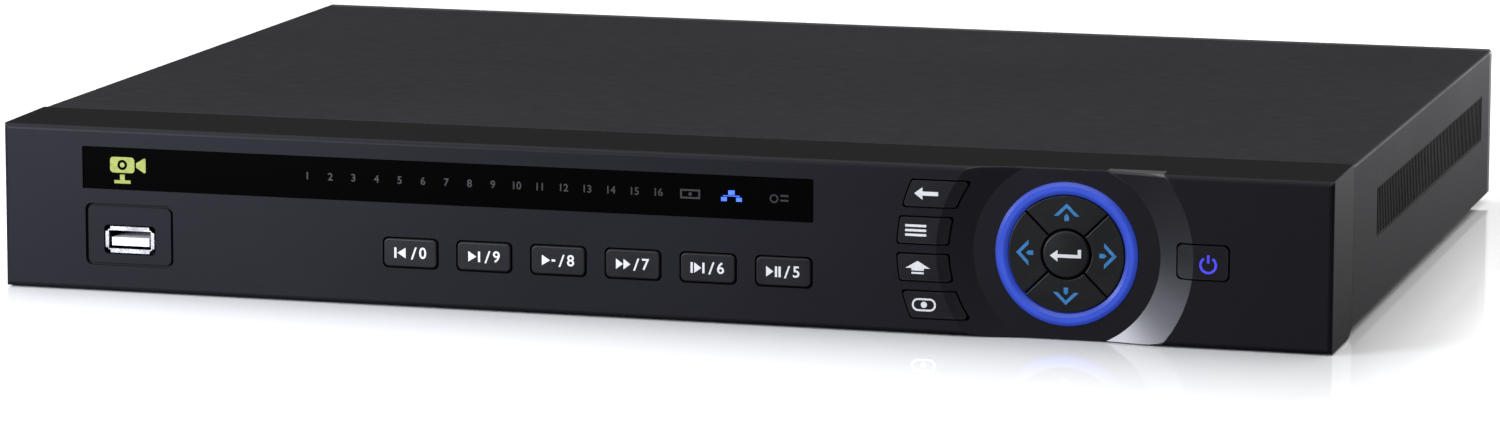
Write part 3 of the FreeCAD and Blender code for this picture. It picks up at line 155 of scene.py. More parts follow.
looked_at = add(board, "LightPath").outputs["Is Camera Ray"]
both = add(board, "MixShader", {0: looked_at, 1: bounce.outputs[0], 2: pale.outputs[0]})
board.links.new(both.outputs[0], board.nodes["Material Output"].inputs["Surface"])
table.data.materials.append(table_top)


# ---- Folded steel tray --------------------------------------------------------------------------------
# Floor, front wall and rear wall are one sheet of 1 mm steel, punched, folded and powder coated dark grey.
# The coat has a fine pebble, is a little thinner and lighter on the folds, and gathers dust inside.
def node_group(name, inputs, outputs):
    """An empty shader node group with its sockets, its input node and its output node."""
    tree = bpy.data.node_groups.new(name, "ShaderNodeTree")
    for label, value in inputs.items():
        kind = "NodeSocketColor" if isinstance(value, tuple) else "NodeSocketFloat"
        tree.interface.new_socket(label, in_out="INPUT", socket_type=kind).default_value = value
    for label, kind in outputs.items():
        tree.interface.new_socket(label, in_out="OUTPUT", socket_type="NodeSocket" + kind)
    return tree, tree.nodes.new("NodeGroupInput").outputs, tree.nodes.new("NodeGroupOutput").inputs


def grey(value, tint=(1.0, 1.0, 1.0)):
    """An opaque colour from one brightness and a tint."""
    return (value * tint[0], value * tint[1], value * tint[2], 1.0)


grained, given, out = node_group(
    "grained_surface",
    {"Dark": grey(0.1), "Light": grey(0.2), "Grain": 2000.0, "Mottle": 20.0, "Smooth": 0.4, "Rough": 0.6},
    {"Color": "Color", "Roughness": "Float", "Height": "Float"},
)
spot = add(grained, "TexCoord").outputs["Object"]
fine = add(grained, "TexNoise", {"Vector": spot, "Scale": given["Grain"], "Detail": 3.0})
cloud = add(grained, "TexNoise", {"Vector": spot, "Scale": given["Mottle"], "Detail": 4.0, "Roughness": 0.6})
blend = add(grained, "Math", {0: cloud.outputs[0], 1: fine.outputs[0]}, operation="ADD")
shade = add(grained, "MapRange", {0: blend.outputs[0], 1: 0.7, 2: 1.3})
tone = add(grained, "Mix", {0: shade.outputs[0], 6: given["Dark"], 7: given["Light"]}, data_type="RGBA")
matte = add(grained, "MapRange", {0: shade.outputs[0], 3: given["Smooth"], 4: given["Rough"]})
grained.links.new(tone.outputs[2], out["Color"])
grained.links.new(matte.outputs[0], out["Roughness"])
grained.links.new(fine.outputs[0], out["Height"])

# Pale edges in patches: real wear on most finishes, and a painted highlight on the bezel's top front edge.
edge_wear_and_highlight, given, out = node_group(
    "edge_wear_and_highlight", {"Color": grey(0.1), "Wear_and_Highlight": grey(0.3), "Width": 0.0004, "Amount": 0.5}, {"Color": "Color"}
)
flat_way = add(edge_wear_and_highlight, "NewGeometry").outputs["Normal"]
soft_way = add(edge_wear_and_highlight, "Bevel", {"Radius": given["Width"]}, samples=4).outputs[0]
turn = add(edge_wear_and_highlight, "VectorMath", {0: flat_way, 1: soft_way}, operation="DOT_PRODUCT")
near_edge = add(edge_wear_and_highlight, "MapRange", {0: turn.outputs["Value"], 1: 0.98, 2: 0.8})
patchy = add(edge_wear_and_highlight, "TexNoise", {"Scale": 90.0, "Detail": 4.0})
patch_strength = add(edge_wear_and_highlight, "MapRange", {0: patchy.outputs[0], 1: 0.3, 2: 0.7, 3: 0.35, 4: 1.0})
pale_edge_share = add(edge_wear_and_highlight, "Math", {0: near_edge.outputs[0], 1: patch_strength.outputs[0]}, operation="MULTIPLY")
share = add(edge_wear_and_highlight, "Math", {0: pale_edge_share.outputs[0], 1: given["Amount"]}, operation="MULTIPLY")
mixed = add(edge_wear_and_highlight, "Mix", {0: share.outputs[0], 6: given["Color"], 7: given["Wear_and_Highlight"]}, data_type="RGBA")
edge_wear_and_highlight.links.new(mixed.outputs[2], out["Color"])

dusting, given, out = node_group(
    "settled_dust", {"Color": grey(0.1), "Dust": grey(0.3), "Amount": 0.1}, {"Color": "Color"}
)
facing = add(dusting, "SeparateXYZ", {0: add(dusting, "NewGeometry").outputs["Normal"]})
upper_side = add(dusting, "MapRange", {0: facing.outputs[2], 1: 0.4, 2: 0.95})
specks = add(dusting, "TexNoise", {"Scale": 60.0, "Detail": 9.0, "Roughness": 0.7})
fall = add(dusting, "MapRange", {0: specks.outputs[0], 1: 0.35, 2: 0.75})
lying = add(dusting, "Math", {0: upper_side.outputs[0], 1: fall.outputs[0]}, operation="MULTIPLY")
dusty = add(dusting, "Math", {0: lying.outputs[0], 1: given["Amount"]}, operation="MULTIPLY")
mixed = add(dusting, "Mix", {0: dusty.outputs[0], 6: given["Color"], 7: given["Dust"]}, data_type="RGBA")
dusting.links.new(mixed.outputs[2], out["Color"])


class Finish:
    """A material under construction: mottled colour, fine grain, pale edges (worn, and on the bezel's top
    front edge a painted highlight) and settled dust.
    """

    def __init__(self, name, dark, light, smooth, rough, grain=2500.0, mottle=18.0):
        self.material = bpy.data.materials.new(name)
        self.material.use_nodes = True
        self.tree = self.material.node_tree
        self.shader = self.tree.nodes["Principled BSDF"]
        surface = self.add(
            "Group",
            {"Dark": dark, "Light": light, "Grain": grain, "Mottle": mottle, "Smooth": smooth, "Rough": rough},
            node_tree=grained,
        )
        self.colour = surface.outputs["Color"]
        self.height = surface.outputs["Height"]
        self.link(surface.outputs["Roughness"], "Roughness")

    def add(self, kind, sockets=None, **settings):
        return add(self.tree, kind, sockets, **settings)

    def link(self, output, socket):
        self.tree.links.new(output, self.shader.inputs[socket])

    def place(self):
        """The point on the surface, in metres."""
        return self.add("TexCoord").outputs["Object"]

    def band(self, value, low, high):
        """0 below low, rising to 1 above high."""
        return self.add("MapRange", {0: value, 1: low, 2: high}).outputs[0]

    def paint(self, mask, colour):
        """Lays another colour over the surface where the mask is 1."""
        mixed_in = self.add("Mix", {0: mask, 6: self.colour, 7: colour}, data_type="RGBA")
        self.colour = mixed_in.outputs[2]

    # Pales the edges: real wear on most finishes, and a painted highlight on the bezel's top front edge.
    def wear_and_highlight_edges(self, colour, amount, width=0.0004):
        sockets = {"Color": self.colour, "Wear_and_Highlight": colour, "Amount": amount, "Width": width}
        self.colour = self.add("Group", sockets, node_tree=edge_wear_and_highlight).outputs[0]
        return self

    def dusty(self, amount, colour=grey(0.3)):
        sockets = {"Color": self.colour, "Dust": colour, "Amount": amount}
        self.colour = self.add("Group", sockets, node_tree=dusting).outputs[0]
        return self

    def done(self, depth=0.00002, **plain):
        """Wires the finished colour and the bump, and sets what is the same all over."""
        self.link(self.colour, "Base Color")
        bump = self.add("Bump", {"Height": self.height, "Distance": depth})
        self.link(bump.outputs[0], "Normal")
        for label, value in plain.items():
            self.shader.inputs[label.replace("_", " ")].default_value = value
        return self.material


def dress(names, material):
    """Gives CAD nodes their finish."""
    for name in names:
        for slot in nodes[name].material_slots:
            slot.material = material


tray_coat = Finish("tray_coat", grey(0.022, (1, 1, 1.08)), grey(0.03, (1, 1, 1.08)), 0.42, 0.55, grain=1400.0)
tray_coat.wear_and_highlight_edges(grey(0.12), 0.5).dusty(0.12)
dress(["base_tray"], tray_coat.done(0.00004, Specular_IOR_Level=0.4))

# ---- Rubber feet --------------------------------------------------------------------------------------
# Four pads punched from black rubber sheet, glued under the tray. Rubber is matt, a little chalky, and
# picks up grit where it stands.
rubber = Finish("foot_rubber", grey(0.012), grey(0.024), 0.7, 0.9, grain=900.0, mottle=70.0)
rubber.wear_and_highlight_edges(grey(0.06), 0.6)
dress(["feet"], rubber.done(0.00003, Specular_IOR_Level=0.3))

# ---- Circuit boards -----------------------------------------------------------------------------------
# Glass-fibre boards under green solder mask: tracks show through the mask as paler raised lines, with rows
# of tinned pads between them. The key board, the main board and the drive's board are made alike.
TRACK_PITCH = 0.0012
solder_mask = Finish(
    "solder_mask", grey(1.0, (0.004, 0.045, 0.018)), grey(1.0, (0.006, 0.07, 0.028)), 0.28, 0.4, mottle=60.0
)
maze = solder_mask.add(
    "TexBrick",
    {"Vector": solder_mask.place(), "Color1": grey(0.0), "Color2": grey(0.0), "Mortar": grey(1.0),
     "Scale": 1.0, "Mortar Size": 0.00012, "Mortar Smooth": 0.1,
     "Brick Width": 9 * TRACK_PITCH, "Row Height": TRACK_PITCH},
    offset=0.37,
)
solder_mask.paint(maze.outputs["Color"], grey(1.0, (0.02, 0.16, 0.07)))
pads = solder_mask.add("TexVoronoi", {"Vector": solder_mask.place(), "Scale": 320.0, "Randomness": 0.6})
dots = solder_mask.band(pads.outputs["Distance"], 0.2, 0.14)
solder_mask.paint(dots, grey(0.55))
solder_mask.height = maze.outputs["Color"]
dress(["key_board", "main_board", "drive_board"], solder_mask.done(0.00003, Coat_Weight=0.3))

# ---- Chips, heat sink, capacitors and coin cell -------------------------------------------------------
# Black epoxy chips, a black anodised extrusion on the processor, sleeved electrolytic cans with bare tops
# and a polished steel coin cell.
epoxy = Finish("chip_epoxy", grey(0.015), grey(0.024), 0.5, 0.65, grain=5000.0)
dress(["processor", "video_chips"], epoxy.wear_and_highlight_edges(grey(0.06), 0.4).done(0.00001))

anodised = Finish("anodised_sink", grey(0.03), grey(0.05), 0.3, 0.45, grain=3500.0, mottle=40.0)
dress(["heat_sink"], anodised.wear_and_highlight_edges(grey(0.4), 0.6).done(0.00001, Metallic=0.8))

sleeve = Finish("capacitor_sleeve", grey(1.0, (0.01, 0.02, 0.09)), grey(1.0, (0.02, 0.035, 0.14)), 0.25, 0.4)
can_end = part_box("capacitors")[1].z
up = sleeve.add("SeparateXYZ", {0: sleeve.place()})
can_top = sleeve.band(up.outputs[2], can_end - 0.0006, can_end - 0.0004)
sleeve.paint(can_top, grey(0.6))
sleeve.link(can_top, "Metallic")
dress(["capacitors"], sleeve.done(0.000005))

steel = Finish("cell_steel", grey(0.5), grey(0.68), 0.22, 0.4, grain=4000.0)
dress(["coin_cell"], steel.wear_and_highlight_edges(grey(0.85), 0.4).done(0.000005, Metallic=1.0))

# ---- Screws -------------------------------------------------------------------------------------------
# Board and drive screws are zinc plated steel; those on the rear wall are blackened. Their cross slots
# are bright where a driver has been.
zinc = Finish(
    "zinc_plate", grey(0.5, (1, 1, 0.94)), grey(0.72, (1, 1, 0.96)), 0.3, 0.5, grain=5000.0, mottle=300.0
)
dress(["board_screws", "drive_screws"], zinc.wear_and_highlight_edges(grey(0.9), 0.4).done(0.00001, Metallic=1.0))

black_oxide = Finish("black_oxide", grey(0.02), grey(0.045), 0.35, 0.5, grain=4000.0, mottle=200.0)
dress(["panel_screws"], black_oxide.wear_and_highlight_edges(grey(0.35), 0.7, 0.0002).done(0.00001, Metallic=0.7))

# ---- Key board's switches, lamps and flat cable -------------------------------------------------------
# Each tactile switch is a black housing under a pressed steel plate. The lamps are clear resin on white
# carriers, and the flat cable is grey ribbed ribbon.
switch_look = Finish("switch_body", grey(0.02), grey(0.03), 0.45, 0.6, mottle=150.0)
switch_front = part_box("tact_switches")[0].y
deep = switch_look.add("SeparateXYZ", {0: switch_look.place()})
plate_mask = switch_look.band(deep.outputs[1], switch_front + 0.0011, switch_front + 0.0009)
switch_look.paint(plate_mask, grey(0.55))
switch_look.link(plate_mask, "Metallic")
dress(["tact_switches"], switch_look.done(0.000008))

resin = Finish("lamp_resin", grey(0.65, (1, 1, 0.9)), grey(0.8, (1, 1, 0.94)), 0.15, 0.3, mottle=400.0)
dress(["indicator_leds"], resin.done(0.000004, Coat_Weight=0.5))

ribbon = Finish("ribbon_jacket", grey(0.28), grey(0.36), 0.45, 0.6, mottle=60.0)
wires = ribbon.add(
    "TexWave", {"Vector": ribbon.place(), "Scale": 125.0}, bands_direction="X", wave_profile="SIN"
)
ribbon.paint(ribbon.band(wires.outputs["Fac"], 0.5, 0.1), grey(0.16))
ribbon.height = wires.outputs["Fac"]
dress(["front_ribbon"], ribbon.done(0.00025))

# ---- Hard drive ---------------------------------------------------------------------------------------
# A die-cast aluminium body with a pressed steel lid. Inside, mirror-finished disks turn under a milled
# aluminium arm.
casting = Finish("drive_casting", grey(0.3), grey(0.42), 0.45, 0.6, grain=1600.0, mottle=90.0)
dress(["drive_base"], casting.wear_and_highlight_edges(grey(0.7), 0.5).dusty(0.1).done(0.00004, Metallic=0.9))

brushed = Finish("brushed_lid", grey(0.42), grey(0.58), 0.28, 0.42)
across = brushed.add("Mapping", {0: brushed.place(), 3: (30.0, 2500.0, 30.0)})
strokes = brushed.add("TexNoise", {"Vector": across.outputs[0], "Scale": 1.0, "Detail": 4.0})
brushed.paint(brushed.band(strokes.outputs[0], 0.45, 0.62), grey(0.66))
brushed.height = strokes.outputs[0]
dress(["drive_lid"], brushed.wear_and_highlight_edges(grey(0.8), 0.4).done(0.000006, Metallic=1.0))

disk_mirror = Finish("disk_mirror", grey(0.8), grey(0.9), 0.04, 0.08, mottle=10.0)
dress(["drive_platters"], disk_mirror.done(0.000001, Metallic=1.0))

milled = Finish("milled_arm", grey(0.55), grey(0.7), 0.25, 0.4, grain=3000.0)
dress(["drive_arm"], milled.wear_and_highlight_edges(grey(0.85), 0.3).done(0.000008, Metallic=1.0))

# ---- Side fan -----------------------------------------------------------------------------------------
# A small brushless fan moulded in glass-filled black nylon, which blows out through the left vent. Dust
# lies on its upper surfaces and rubbing has greyed its edges.
nylon = Finish("fan_nylon", grey(0.014), grey(0.024), 0.45, 0.62, grain=1800.0, mottle=120.0)
dress(["fan_frame", "fan_rotor"], nylon.wear_and_highlight_edges(grey(0.16), 0.6, 0.0006).dusty(0.3).done(0.00002))

# ---- Rear sockets -------------------------------------------------------------------------------------
# Video sockets are turned brass under bright nickel, each with a white insulator round its contact, held
# in black moulded blocks. The other sockets have folded nickel-plated shells and coloured inserts.
nickel = Finish(
    "bright_nickel", grey(0.62, (1, 0.985, 0.95)), grey(0.76, (1, 0.985, 0.95)), 0.16, 0.3, grain=3000.0
)
nickel.wear_and_highlight_edges(grey(0.9), 0.4, 0.0002)
dress(
    ["video_jacks", "audio_jacks", "vga_port", "hdmi_port", "rear_usb_port", "ethernet_port"],
    nickel.done(0.000004, Metallic=1.0),
)

teflon = Finish("white_insulator", grey(0.66, (1, 1, 0.97)), grey(0.78, (1, 1, 0.98)), 0.4, 0.55, mottle=200.0)
dress(["video_insulators"], teflon.done(0.000006))

block_plastic = Finish("block_plastic", grey(0.014), grey(0.022), 0.4, 0.55, grain=1500.0, mottle=60.0)
dress(["jack_blocks"], block_plastic.wear_and_highlight_edges(grey(0.06), 0.4).dusty(0.15).done(0.00002))

collar = Finish(
    "collar_red", grey(1.0, (0.42, 0.012, 0.01)), grey(1.0, (0.56, 0.02, 0.016)), 0.25, 0.4, mottle=120.0
)
sideways = collar.add("SeparateXYZ", {0: collar.place()})
collar_low, collar_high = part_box("audio_collars")
left_pair = collar.band(sideways.outputs[0], (collar_low.x + collar_high.x) / 2, collar_low.x + 0.004)
collar.paint(left_pair, grey(0.72))
dress(["audio_collars"], collar.done(0.000006, Coat_Weight=0.2))

inserts = Finish(
    "port_inserts", grey(1.0, (0.01, 0.03, 0.26)), grey(1.0, (0.016, 0.045, 0.34)), 0.4, 0.52, mottle=150.0
)
where = inserts.add("SeparateXYZ", {0: inserts.place()})
vga_box, hdmi_box, usb_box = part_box("vga_port"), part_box("hdmi_port"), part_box("rear_usb_port")
inserts.paint(inserts.band(where.outputs[0], vga_box[1].x, hdmi_box[0].x), grey(0.015))
inserts.paint(inserts.band(where.outputs[0], hdmi_box[1].x, usb_box[0].x), grey(0.7))
dress(["port_insulators"], inserts.done(0.000006))

terminal = Finish(
    "terminal_green", grey(1.0, (0.012, 0.12, 0.035)), grey(1.0, (0.02, 0.17, 0.05)), 0.4, 0.55, mottle=90.0
)
dress(["terminal_block"], terminal.wear_and_highlight_edges(grey(1.0, (0.1, 0.34, 0.16)), 0.4).dusty(0.12).done(0.00001))

inlet = Finish("inlet_plastic", grey(0.014), grey(0.022), 0.35, 0.5, mottle=90.0)
inlet_low, inlet_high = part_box("dc_inlet")
inlet_axis = ((inlet_low.x + inlet_high.x) / 2, 0.0, (inlet_low.z + inlet_high.z) / 2)
crosswise = inlet.add("VectorMath", {0: inlet.place(), 1: (1.0, 0.0, 1.0)}, operation="MULTIPLY")
reach = inlet.add("VectorMath", {0: crosswise.outputs[0], 1: inlet_axis}, operation="DISTANCE")
pin_mask = inlet.band(reach.outputs["Value"], 0.0014, 0.0012)
inlet.paint(pin_mask, grey(0.7))
inlet.link(pin_mask, "Metallic")
dress(["dc_inlet"], inlet.wear_and_highlight_edges(grey(0.06), 0.3).done(0.000008))

gloss_black = Finish("rocker_black", grey(0.01), grey(0.016), 0.18, 0.3, mottle=50.0)
gloss_black.wear_and_highlight_edges(grey(0.08), 0.4)
dress(["rocker_frame", "power_rocker"], gloss_black.done(0.000005))

# ---- Steel cover and vent panels ----------------------------------------------------------------------
# The cover is one folded sheet, powder coated in fine-textured black. A pressed panel full of upright slots,
# painted matt black, fills each of the two vent openings; its slots are real, and its black, darker than the
# cover, is painted shade for the dark of fine perforations.
cover_coat = Finish(
    "cover_coat", grey(0.0145, (1.0, 0.96, 1.14)), grey(0.019, (1.0, 0.96, 1.12)), 0.52, 0.64,
    grain=1900.0, mottle=9.0,
)
cover_coat.wear_and_highlight_edges(grey(0.1), 0.35, 0.0006).dusty(0.03)
dress(["top_cover"], cover_coat.done(0.00002, Specular_IOR_Level=0.06))

# Painted shade: the vent panel is painted darker than the cover, for the dark of the perforations.
grille_paint = Finish("grille_paint", grey(0.007), grey(0.011), 0.6, 0.75, grain=1500.0, mottle=50.0)
grille_paint.wear_and_highlight_edges(grey(0.03), 0.3, 0.0003).dusty(0.15)
dress(["vent_grilles"], grille_paint.done(0.00002, Specular_IOR_Level=0.06))

# ---- Moulded bezel ------------------------------------------------------------------------------------
# The front is one ABS moulding with a fine spark-eroded grain and softened edges. The dial sits in a
# shallow dish moulded into it, its crown is painted darker as painted shade, and a pale line painted along its
# top front edge is a painted highlight.
bezel_plastic = Finish(
    "bezel_plastic", grey(0.0105, (1.0, 0.97, 1.22)), grey(0.0135, (1.0, 0.97, 1.22)), 0.42, 0.52,
    grain=2600.0, mottle=12.0,
)
height_up = bezel_plastic.add("SeparateXYZ", {0: bezel_plastic.place()}).outputs[2]
# Painted shade: the crown is painted darker than the face.
crown_painted_shade = bezel_plastic.band(height_up, bezel_high.z - 0.0008, bezel_high.z - 0.0005)
bezel_plastic.paint(crown_painted_shade, grey(0.005))
# Painted highlight: a pale line painted along the top front edge, where the rounded edge catches the light.
top_edge_painted_highlight = bezel_plastic.band(height_up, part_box("display_window")[1].z, bezel_high.z - 0.001)
bezel_plastic.wear_and_highlight_edges(grey(0.09, (1.0, 1.0, 1.1)), top_edge_painted_highlight, 0.0009)
dress(["front_bezel"], bezel_plastic.done(0.00001, Specular_IOR_Level=0.08))

# ---- Crescent trim ------------------------------------------------------------------------------------
# A thin moulding let into the right flank of the dish, lacquered satin silver. Its lacquer fades from the
# bezel's black above to
# silver below: a painted reflection of the dark room above and the bright table below. A bright line painted
# on its top edge is a painted glint.
dial_low, dial_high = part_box("light_ring")
dial = (dial_low + dial_high) / 2
REFLECTION_FADE_START = 26.0
REFLECTION_FADE_END = 66.0
FOOT_METAL = 0.55
silver = Finish(
    "crescent_lacquer", grey(0.0105, (1.0, 0.97, 1.2)), grey(0.0135, (1.0, 0.97, 1.2)), 0.32, 0.4, grain=3000.0
)
from_dial = silver.add(
    "VectorMath", {0: silver.place(), 1: (dial.x, dial.y, dial.z)}, operation="SUBTRACT"
)
parts = silver.add("SeparateXYZ", {0: from_dial.outputs[0]})
below = silver.add("Math", {0: parts.outputs[2], 1: -1.0}, operation="MULTIPLY")
angle = silver.add("Math", {0: below.outputs[0], 1: parts.outputs[0]}, operation="ARCTAN2")
# Painted reflection: silver painted below and black above, by angle round the dial, stand in for the bright
# table and the dark room the trim reflects.
painted_reflection_fade = silver.add(
    "MapRange",
    {0: angle.outputs[0], 1: math.radians(REFLECTION_FADE_START), 2: math.radians(REFLECTION_FADE_END)},
    interpolation_type="SMOOTHSTEP",
)
silver.paint(painted_reflection_fade.outputs[0], grey(0.28, (1.0, 0.99, 0.96)))
silver.link(silver.add("MapRange", {0: painted_reflection_fade.outputs[0], 4: FOOT_METAL}).outputs[0], "Metallic")
crescent_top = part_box("crescent_trim")[1].z
upward = silver.add("SeparateXYZ", {0: silver.place()}).outputs[2]
# Painted glint: a bright line painted along the crescent's top edge.
painted_glint_tip = silver.band(upward, crescent_top - 0.0009, crescent_top - 0.0006)
silver.paint(painted_glint_tip, grey(0.07, (1.0, 1.0, 0.96)))
dress(["crescent_trim"], silver.done(0.000006, Specular_IOR_Level=0.3))

# ---- Indicator window ---------------------------------------------------------------------------------
# A strip of smoked acrylic, polished on the front and printed: a camera pictogram at the left, the channel
# numbers 1 to 16, and three status marks of which the middle one is lit.
smoke = Finish("smoked_acrylic", grey(0.0006), grey(0.001), 0.04, 0.09, mottle=6.0)
dress(["display_window"], smoke.done(0.000001, Specular_IOR_Level=0.05))

MM = 0.001
INK = 0.02 * MM


def rectangle(x0, x1, z0, z1):
    """Four corners."""
    return [(x0, z0), (x1, z0), (x1, z1), (x0, z1)]


def rounded_box(x0, x1, z0, z1, radius, steps=6):
    """An upright rectangle with rounded corners."""
    outline = []
    for corner, (x, z) in enumerate(((x1, z1), (x0, z1), (x0, z0), (x1, z0))):
        x += radius if x == x0 else -radius
        z += radius if z == z0 else -radius
        turns = [math.pi / 2 * (corner + i / steps) for i in range(steps + 1)]
        outline += [(x + radius * math.cos(t), z + radius * math.sin(t)) for t in turns]
    return outline


def moved(loops, x, z):
    """Outlines carried to a place."""
    return [[(x + u, z + v) for u, v in loop] for loop in loops]


def circle(x, z, radius, steps=32):
    """A round outline."""
    turns = [2 * math.pi * i / steps for i in range(steps)]
    return [(x + radius * math.cos(t), z + radius * math.sin(t)) for t in turns]


def bow(x, z, inner, outer, start, end, steps=24):
    """A curved band between two radii and two angles in degrees."""
    turns = [math.radians(start + (end - start) * i / steps) for i in range(steps + 1)]
    rim = [(x + outer * math.cos(t), z + outer * math.sin(t)) for t in turns]
    return rim + [(x + inner * math.cos(t), z + inner * math.sin(t)) for t in reversed(turns)]


def figure(text, x, z, height):
    """Digits as a flat text curve, centred on a point."""
    curve = bpy.data.curves.new("figure", "FONT")
    curve.body = text
    curve.size = height / 0.72
    curve.align_x = "CENTER"
    curve.align_y = "CENTER"
    curve.offset = height * 0.02
    return curve, x, z


def flat_mesh(curve, x, z):
    """The closed mesh of an extruded curve, moved to its place; it lies in the XY plane, in millimetres."""
    curve.extrude = 0.5
    holder = bpy.data.objects.new("holder", curve)
    bpy.context.scene.collection.objects.link(holder)
    graph = bpy.context.evaluated_depsgraph_get()
    mesh = bpy.data.meshes.new_from_object(holder.evaluated_get(graph))
    mesh.transform(Matrix.Translation((x, z, 0)))
    bpy.data.objects.remove(holder)
    return mesh


def printed(name, body, node, ink, loops=(), figures=(), side=-1, splits=0):
    """Marks printed on a node's face, one ink film thick. Outlines are (x, z) in millimetres.

    side is -1 for the front. On the back it is 1, and the marks are laid out as seen from there: x runs to -x.
    """
    flat = bmesh.new()
    if loops:
        curve = bpy.data.curves.new(name, "CURVE")
        curve.dimensions = "2D"
        curve.fill_mode = "BOTH"
        for loop in loops:
            spline = curve.splines.new("POLY")
            spline.points.add(len(loop) - 1)
            for point, (x, z) in zip(spline.points, loop):
                point.co = (x, z, 0, 1)
            spline.use_cyclic_u = True
        flat.from_mesh(flat_mesh(curve, 0, 0))
    for curve, x, z in figures:
        flat.from_mesh(flat_mesh(curve, x, z))
    bmesh.ops.remove_doubles(flat, verts=flat.verts, dist=0.001)
    for _ in range(splits):
        long_edges = [edge for edge in flat.edges if edge.calc_length() > 0.7]
        bmesh.ops.subdivide_edges(flat, edges=long_edges, cuts=1)
        bmesh.ops.triangulate(flat, faces=flat.faces)
    graph = bpy.context.evaluated_depsgraph_get()
    face = BVHTree.FromObject(nodes[node], graph)
    start = side * 0.5
    for corner in flat.verts:
        x, z, film = -side * corner.co.x * MM, corner.co.y * MM, corner.co.z + 0.5
        hit = face.ray_cast(Vector((x, start, z)), Vector((0, -side, 0)))[0]
        corner.co = (x, hit.y + side * INK * (0.1 + film), z)
    bmesh.ops.recalc_face_normals(flat, faces=flat.faces)
    mesh = bpy.data.meshes.new(name)
    flat.to_mesh(mesh)
    flat.free()
    mesh.materials.append(ink)
    mark = bpy.data.objects.new(name, mesh)
    bpy.context.scene.collection.objects.link(mark)
    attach(mark, body)


def ink_finish(name, dark, light, glow=0.0):
    """Screen ink, a little uneven; a glow lets lamp light through it where a lamp shines behind the mark, and
    on unlit marks it is a painted glow.
    """
    ink = Finish(name, dark, light, 0.35, 0.5, grain=6000.0, mottle=900.0)
    if glow:
        ink.link(ink.colour, "Emission Color")
    return ink.done(0.000002, Emission_Strength=glow)


# Painted glow: the dim marks glow though no lamp is lit behind them.
DIM = ink_finish("dim_ink", grey(0.009), grey(0.015), 0.5)
LIT_BLUE = ink_finish("lit_blue_ink", grey(1.0, (0.03, 0.09, 0.75)), grey(1.0, (0.06, 0.16, 0.95)), 1.1)
window_low, window_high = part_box("display_window")
INDICATOR_Z = (window_low.z + window_high.z) / 2 / MM + 0.3
CHANNEL_PITCH = 6.7
CHANNEL_FIRST = -98.0
CHANNEL_HEIGHT = 2.1
channels = [
    figure(str(i + 1), CHANNEL_FIRST + CHANNEL_PITCH * i, INDICATOR_Z, CHANNEL_HEIGHT) for i in range(16)
]
printed("channel_numbers", "recorder", "display_window", DIM, figures=channels)

DRIVE_MARK_X = 11.6
drive_mark = [
    rectangle(DRIVE_MARK_X - 2.8, DRIVE_MARK_X + 2.8, INDICATOR_Z - 1.3, INDICATOR_Z + 1.3),
    rectangle(DRIVE_MARK_X - 2.3, DRIVE_MARK_X + 2.3, INDICATOR_Z - 0.8, INDICATOR_Z + 0.8),
    circle(DRIVE_MARK_X, INDICATOR_Z, 0.5),
]
STATUS_MARK_X = 36.3
status_mark = [
    bow(STATUS_MARK_X - 1.2, INDICATOR_Z - 0.2, 0.8, 1.2, 0, 360),
    rectangle(STATUS_MARK_X + 0.6, STATUS_MARK_X + 2.8, INDICATOR_Z + 0.4, INDICATOR_Z + 0.9),
    rectangle(STATUS_MARK_X + 0.6, STATUS_MARK_X + 2.8, INDICATOR_Z - 0.9, INDICATOR_Z - 0.4),
]
printed("dim_status_marks", "recorder", "display_window", DIM, loops=drive_mark + status_mark)

NETWORK_MARK_X = 23.2
network_mark = [
    rectangle(NETWORK_MARK_X - 0.9, NETWORK_MARK_X + 0.9, INDICATOR_Z + 0.3, INDICATOR_Z + 1.5),
    rectangle(NETWORK_MARK_X - 2.9, NETWORK_MARK_X - 1.3, INDICATOR_Z - 1.5, INDICATOR_Z - 0.4),
    rectangle(NETWORK_MARK_X + 1.3, NETWORK_MARK_X + 2.9, INDICATOR_Z - 1.5, INDICATOR_Z - 0.4),
    rectangle(NETWORK_MARK_X - 2.3, NETWORK_MARK_X + 2.3, INDICATOR_Z - 0.15, INDICATOR_Z + 0.1),
]
printed("network_mark", "recorder", "display_window", LIT_BLUE, loops=network_mark)

BADGE_X = -150.8
BADGE_Z = INDICATOR_Z - 0.2
# Painted glow: the badge ink glows though no lamp shines behind it.
LIME = ink_finish("lime_ink", grey(1.0, (0.16, 0.19, 0.02)), grey(1.0, (0.3, 0.35, 0.05)), 0.25)
badge = [
    rounded_box(-5.2, 2.0, -1.3, 3.1, 1.0),
    circle(-1.6, 0.9, 1.45),
    circle(-1.6, 0.9, 0.7),
    [(2.5, 0.3), (4.9, -1.2), (5.3, -1.0), (5.3, 2.8), (4.9, 3.0), (2.5, 1.5)],
    [(-2.3, -1.8), (-0.9, -1.8), (-0.9, -3.4), (0.8, -3.4),
     (0.8, -4.3), (-4.0, -4.3), (-4.0, -3.4), (-2.3, -3.4)],
]
printed("camera_badge", "recorder", "display_window", LIME, loops=moved(badge, BADGE_X, BADGE_Z))

# ---- Numbers on the rear wall -------------------------------------------------------------------------
# White screen ink on the powder coat: each video socket's channel number stands beside it, the upper row
# odd and the lower row even.
WALL_INK = ink_finish("wall_ink", grey(0.5), grey(0.65))
VIDEO_FIRST_X = 54.0
VIDEO_PITCH = 15.8
ROW_NUMBERS_Z = (38.6, 9.6)
NUMBER_ASIDE = 6.4
NUMBER_HEIGHT = 2.0
jack_numbers = []
for channel in range(16):
    column, row = divmod(channel, 2)
    x = VIDEO_FIRST_X + VIDEO_PITCH * column
    jack_numbers.append(figure(str(channel + 1), x - NUMBER_ASIDE, ROW_NUMBERS_Z[row], NUMBER_HEIGHT))
printed("jack_numbers", "recorder", "base_tray", WALL_INK, figures=jack_numbers, side=1)

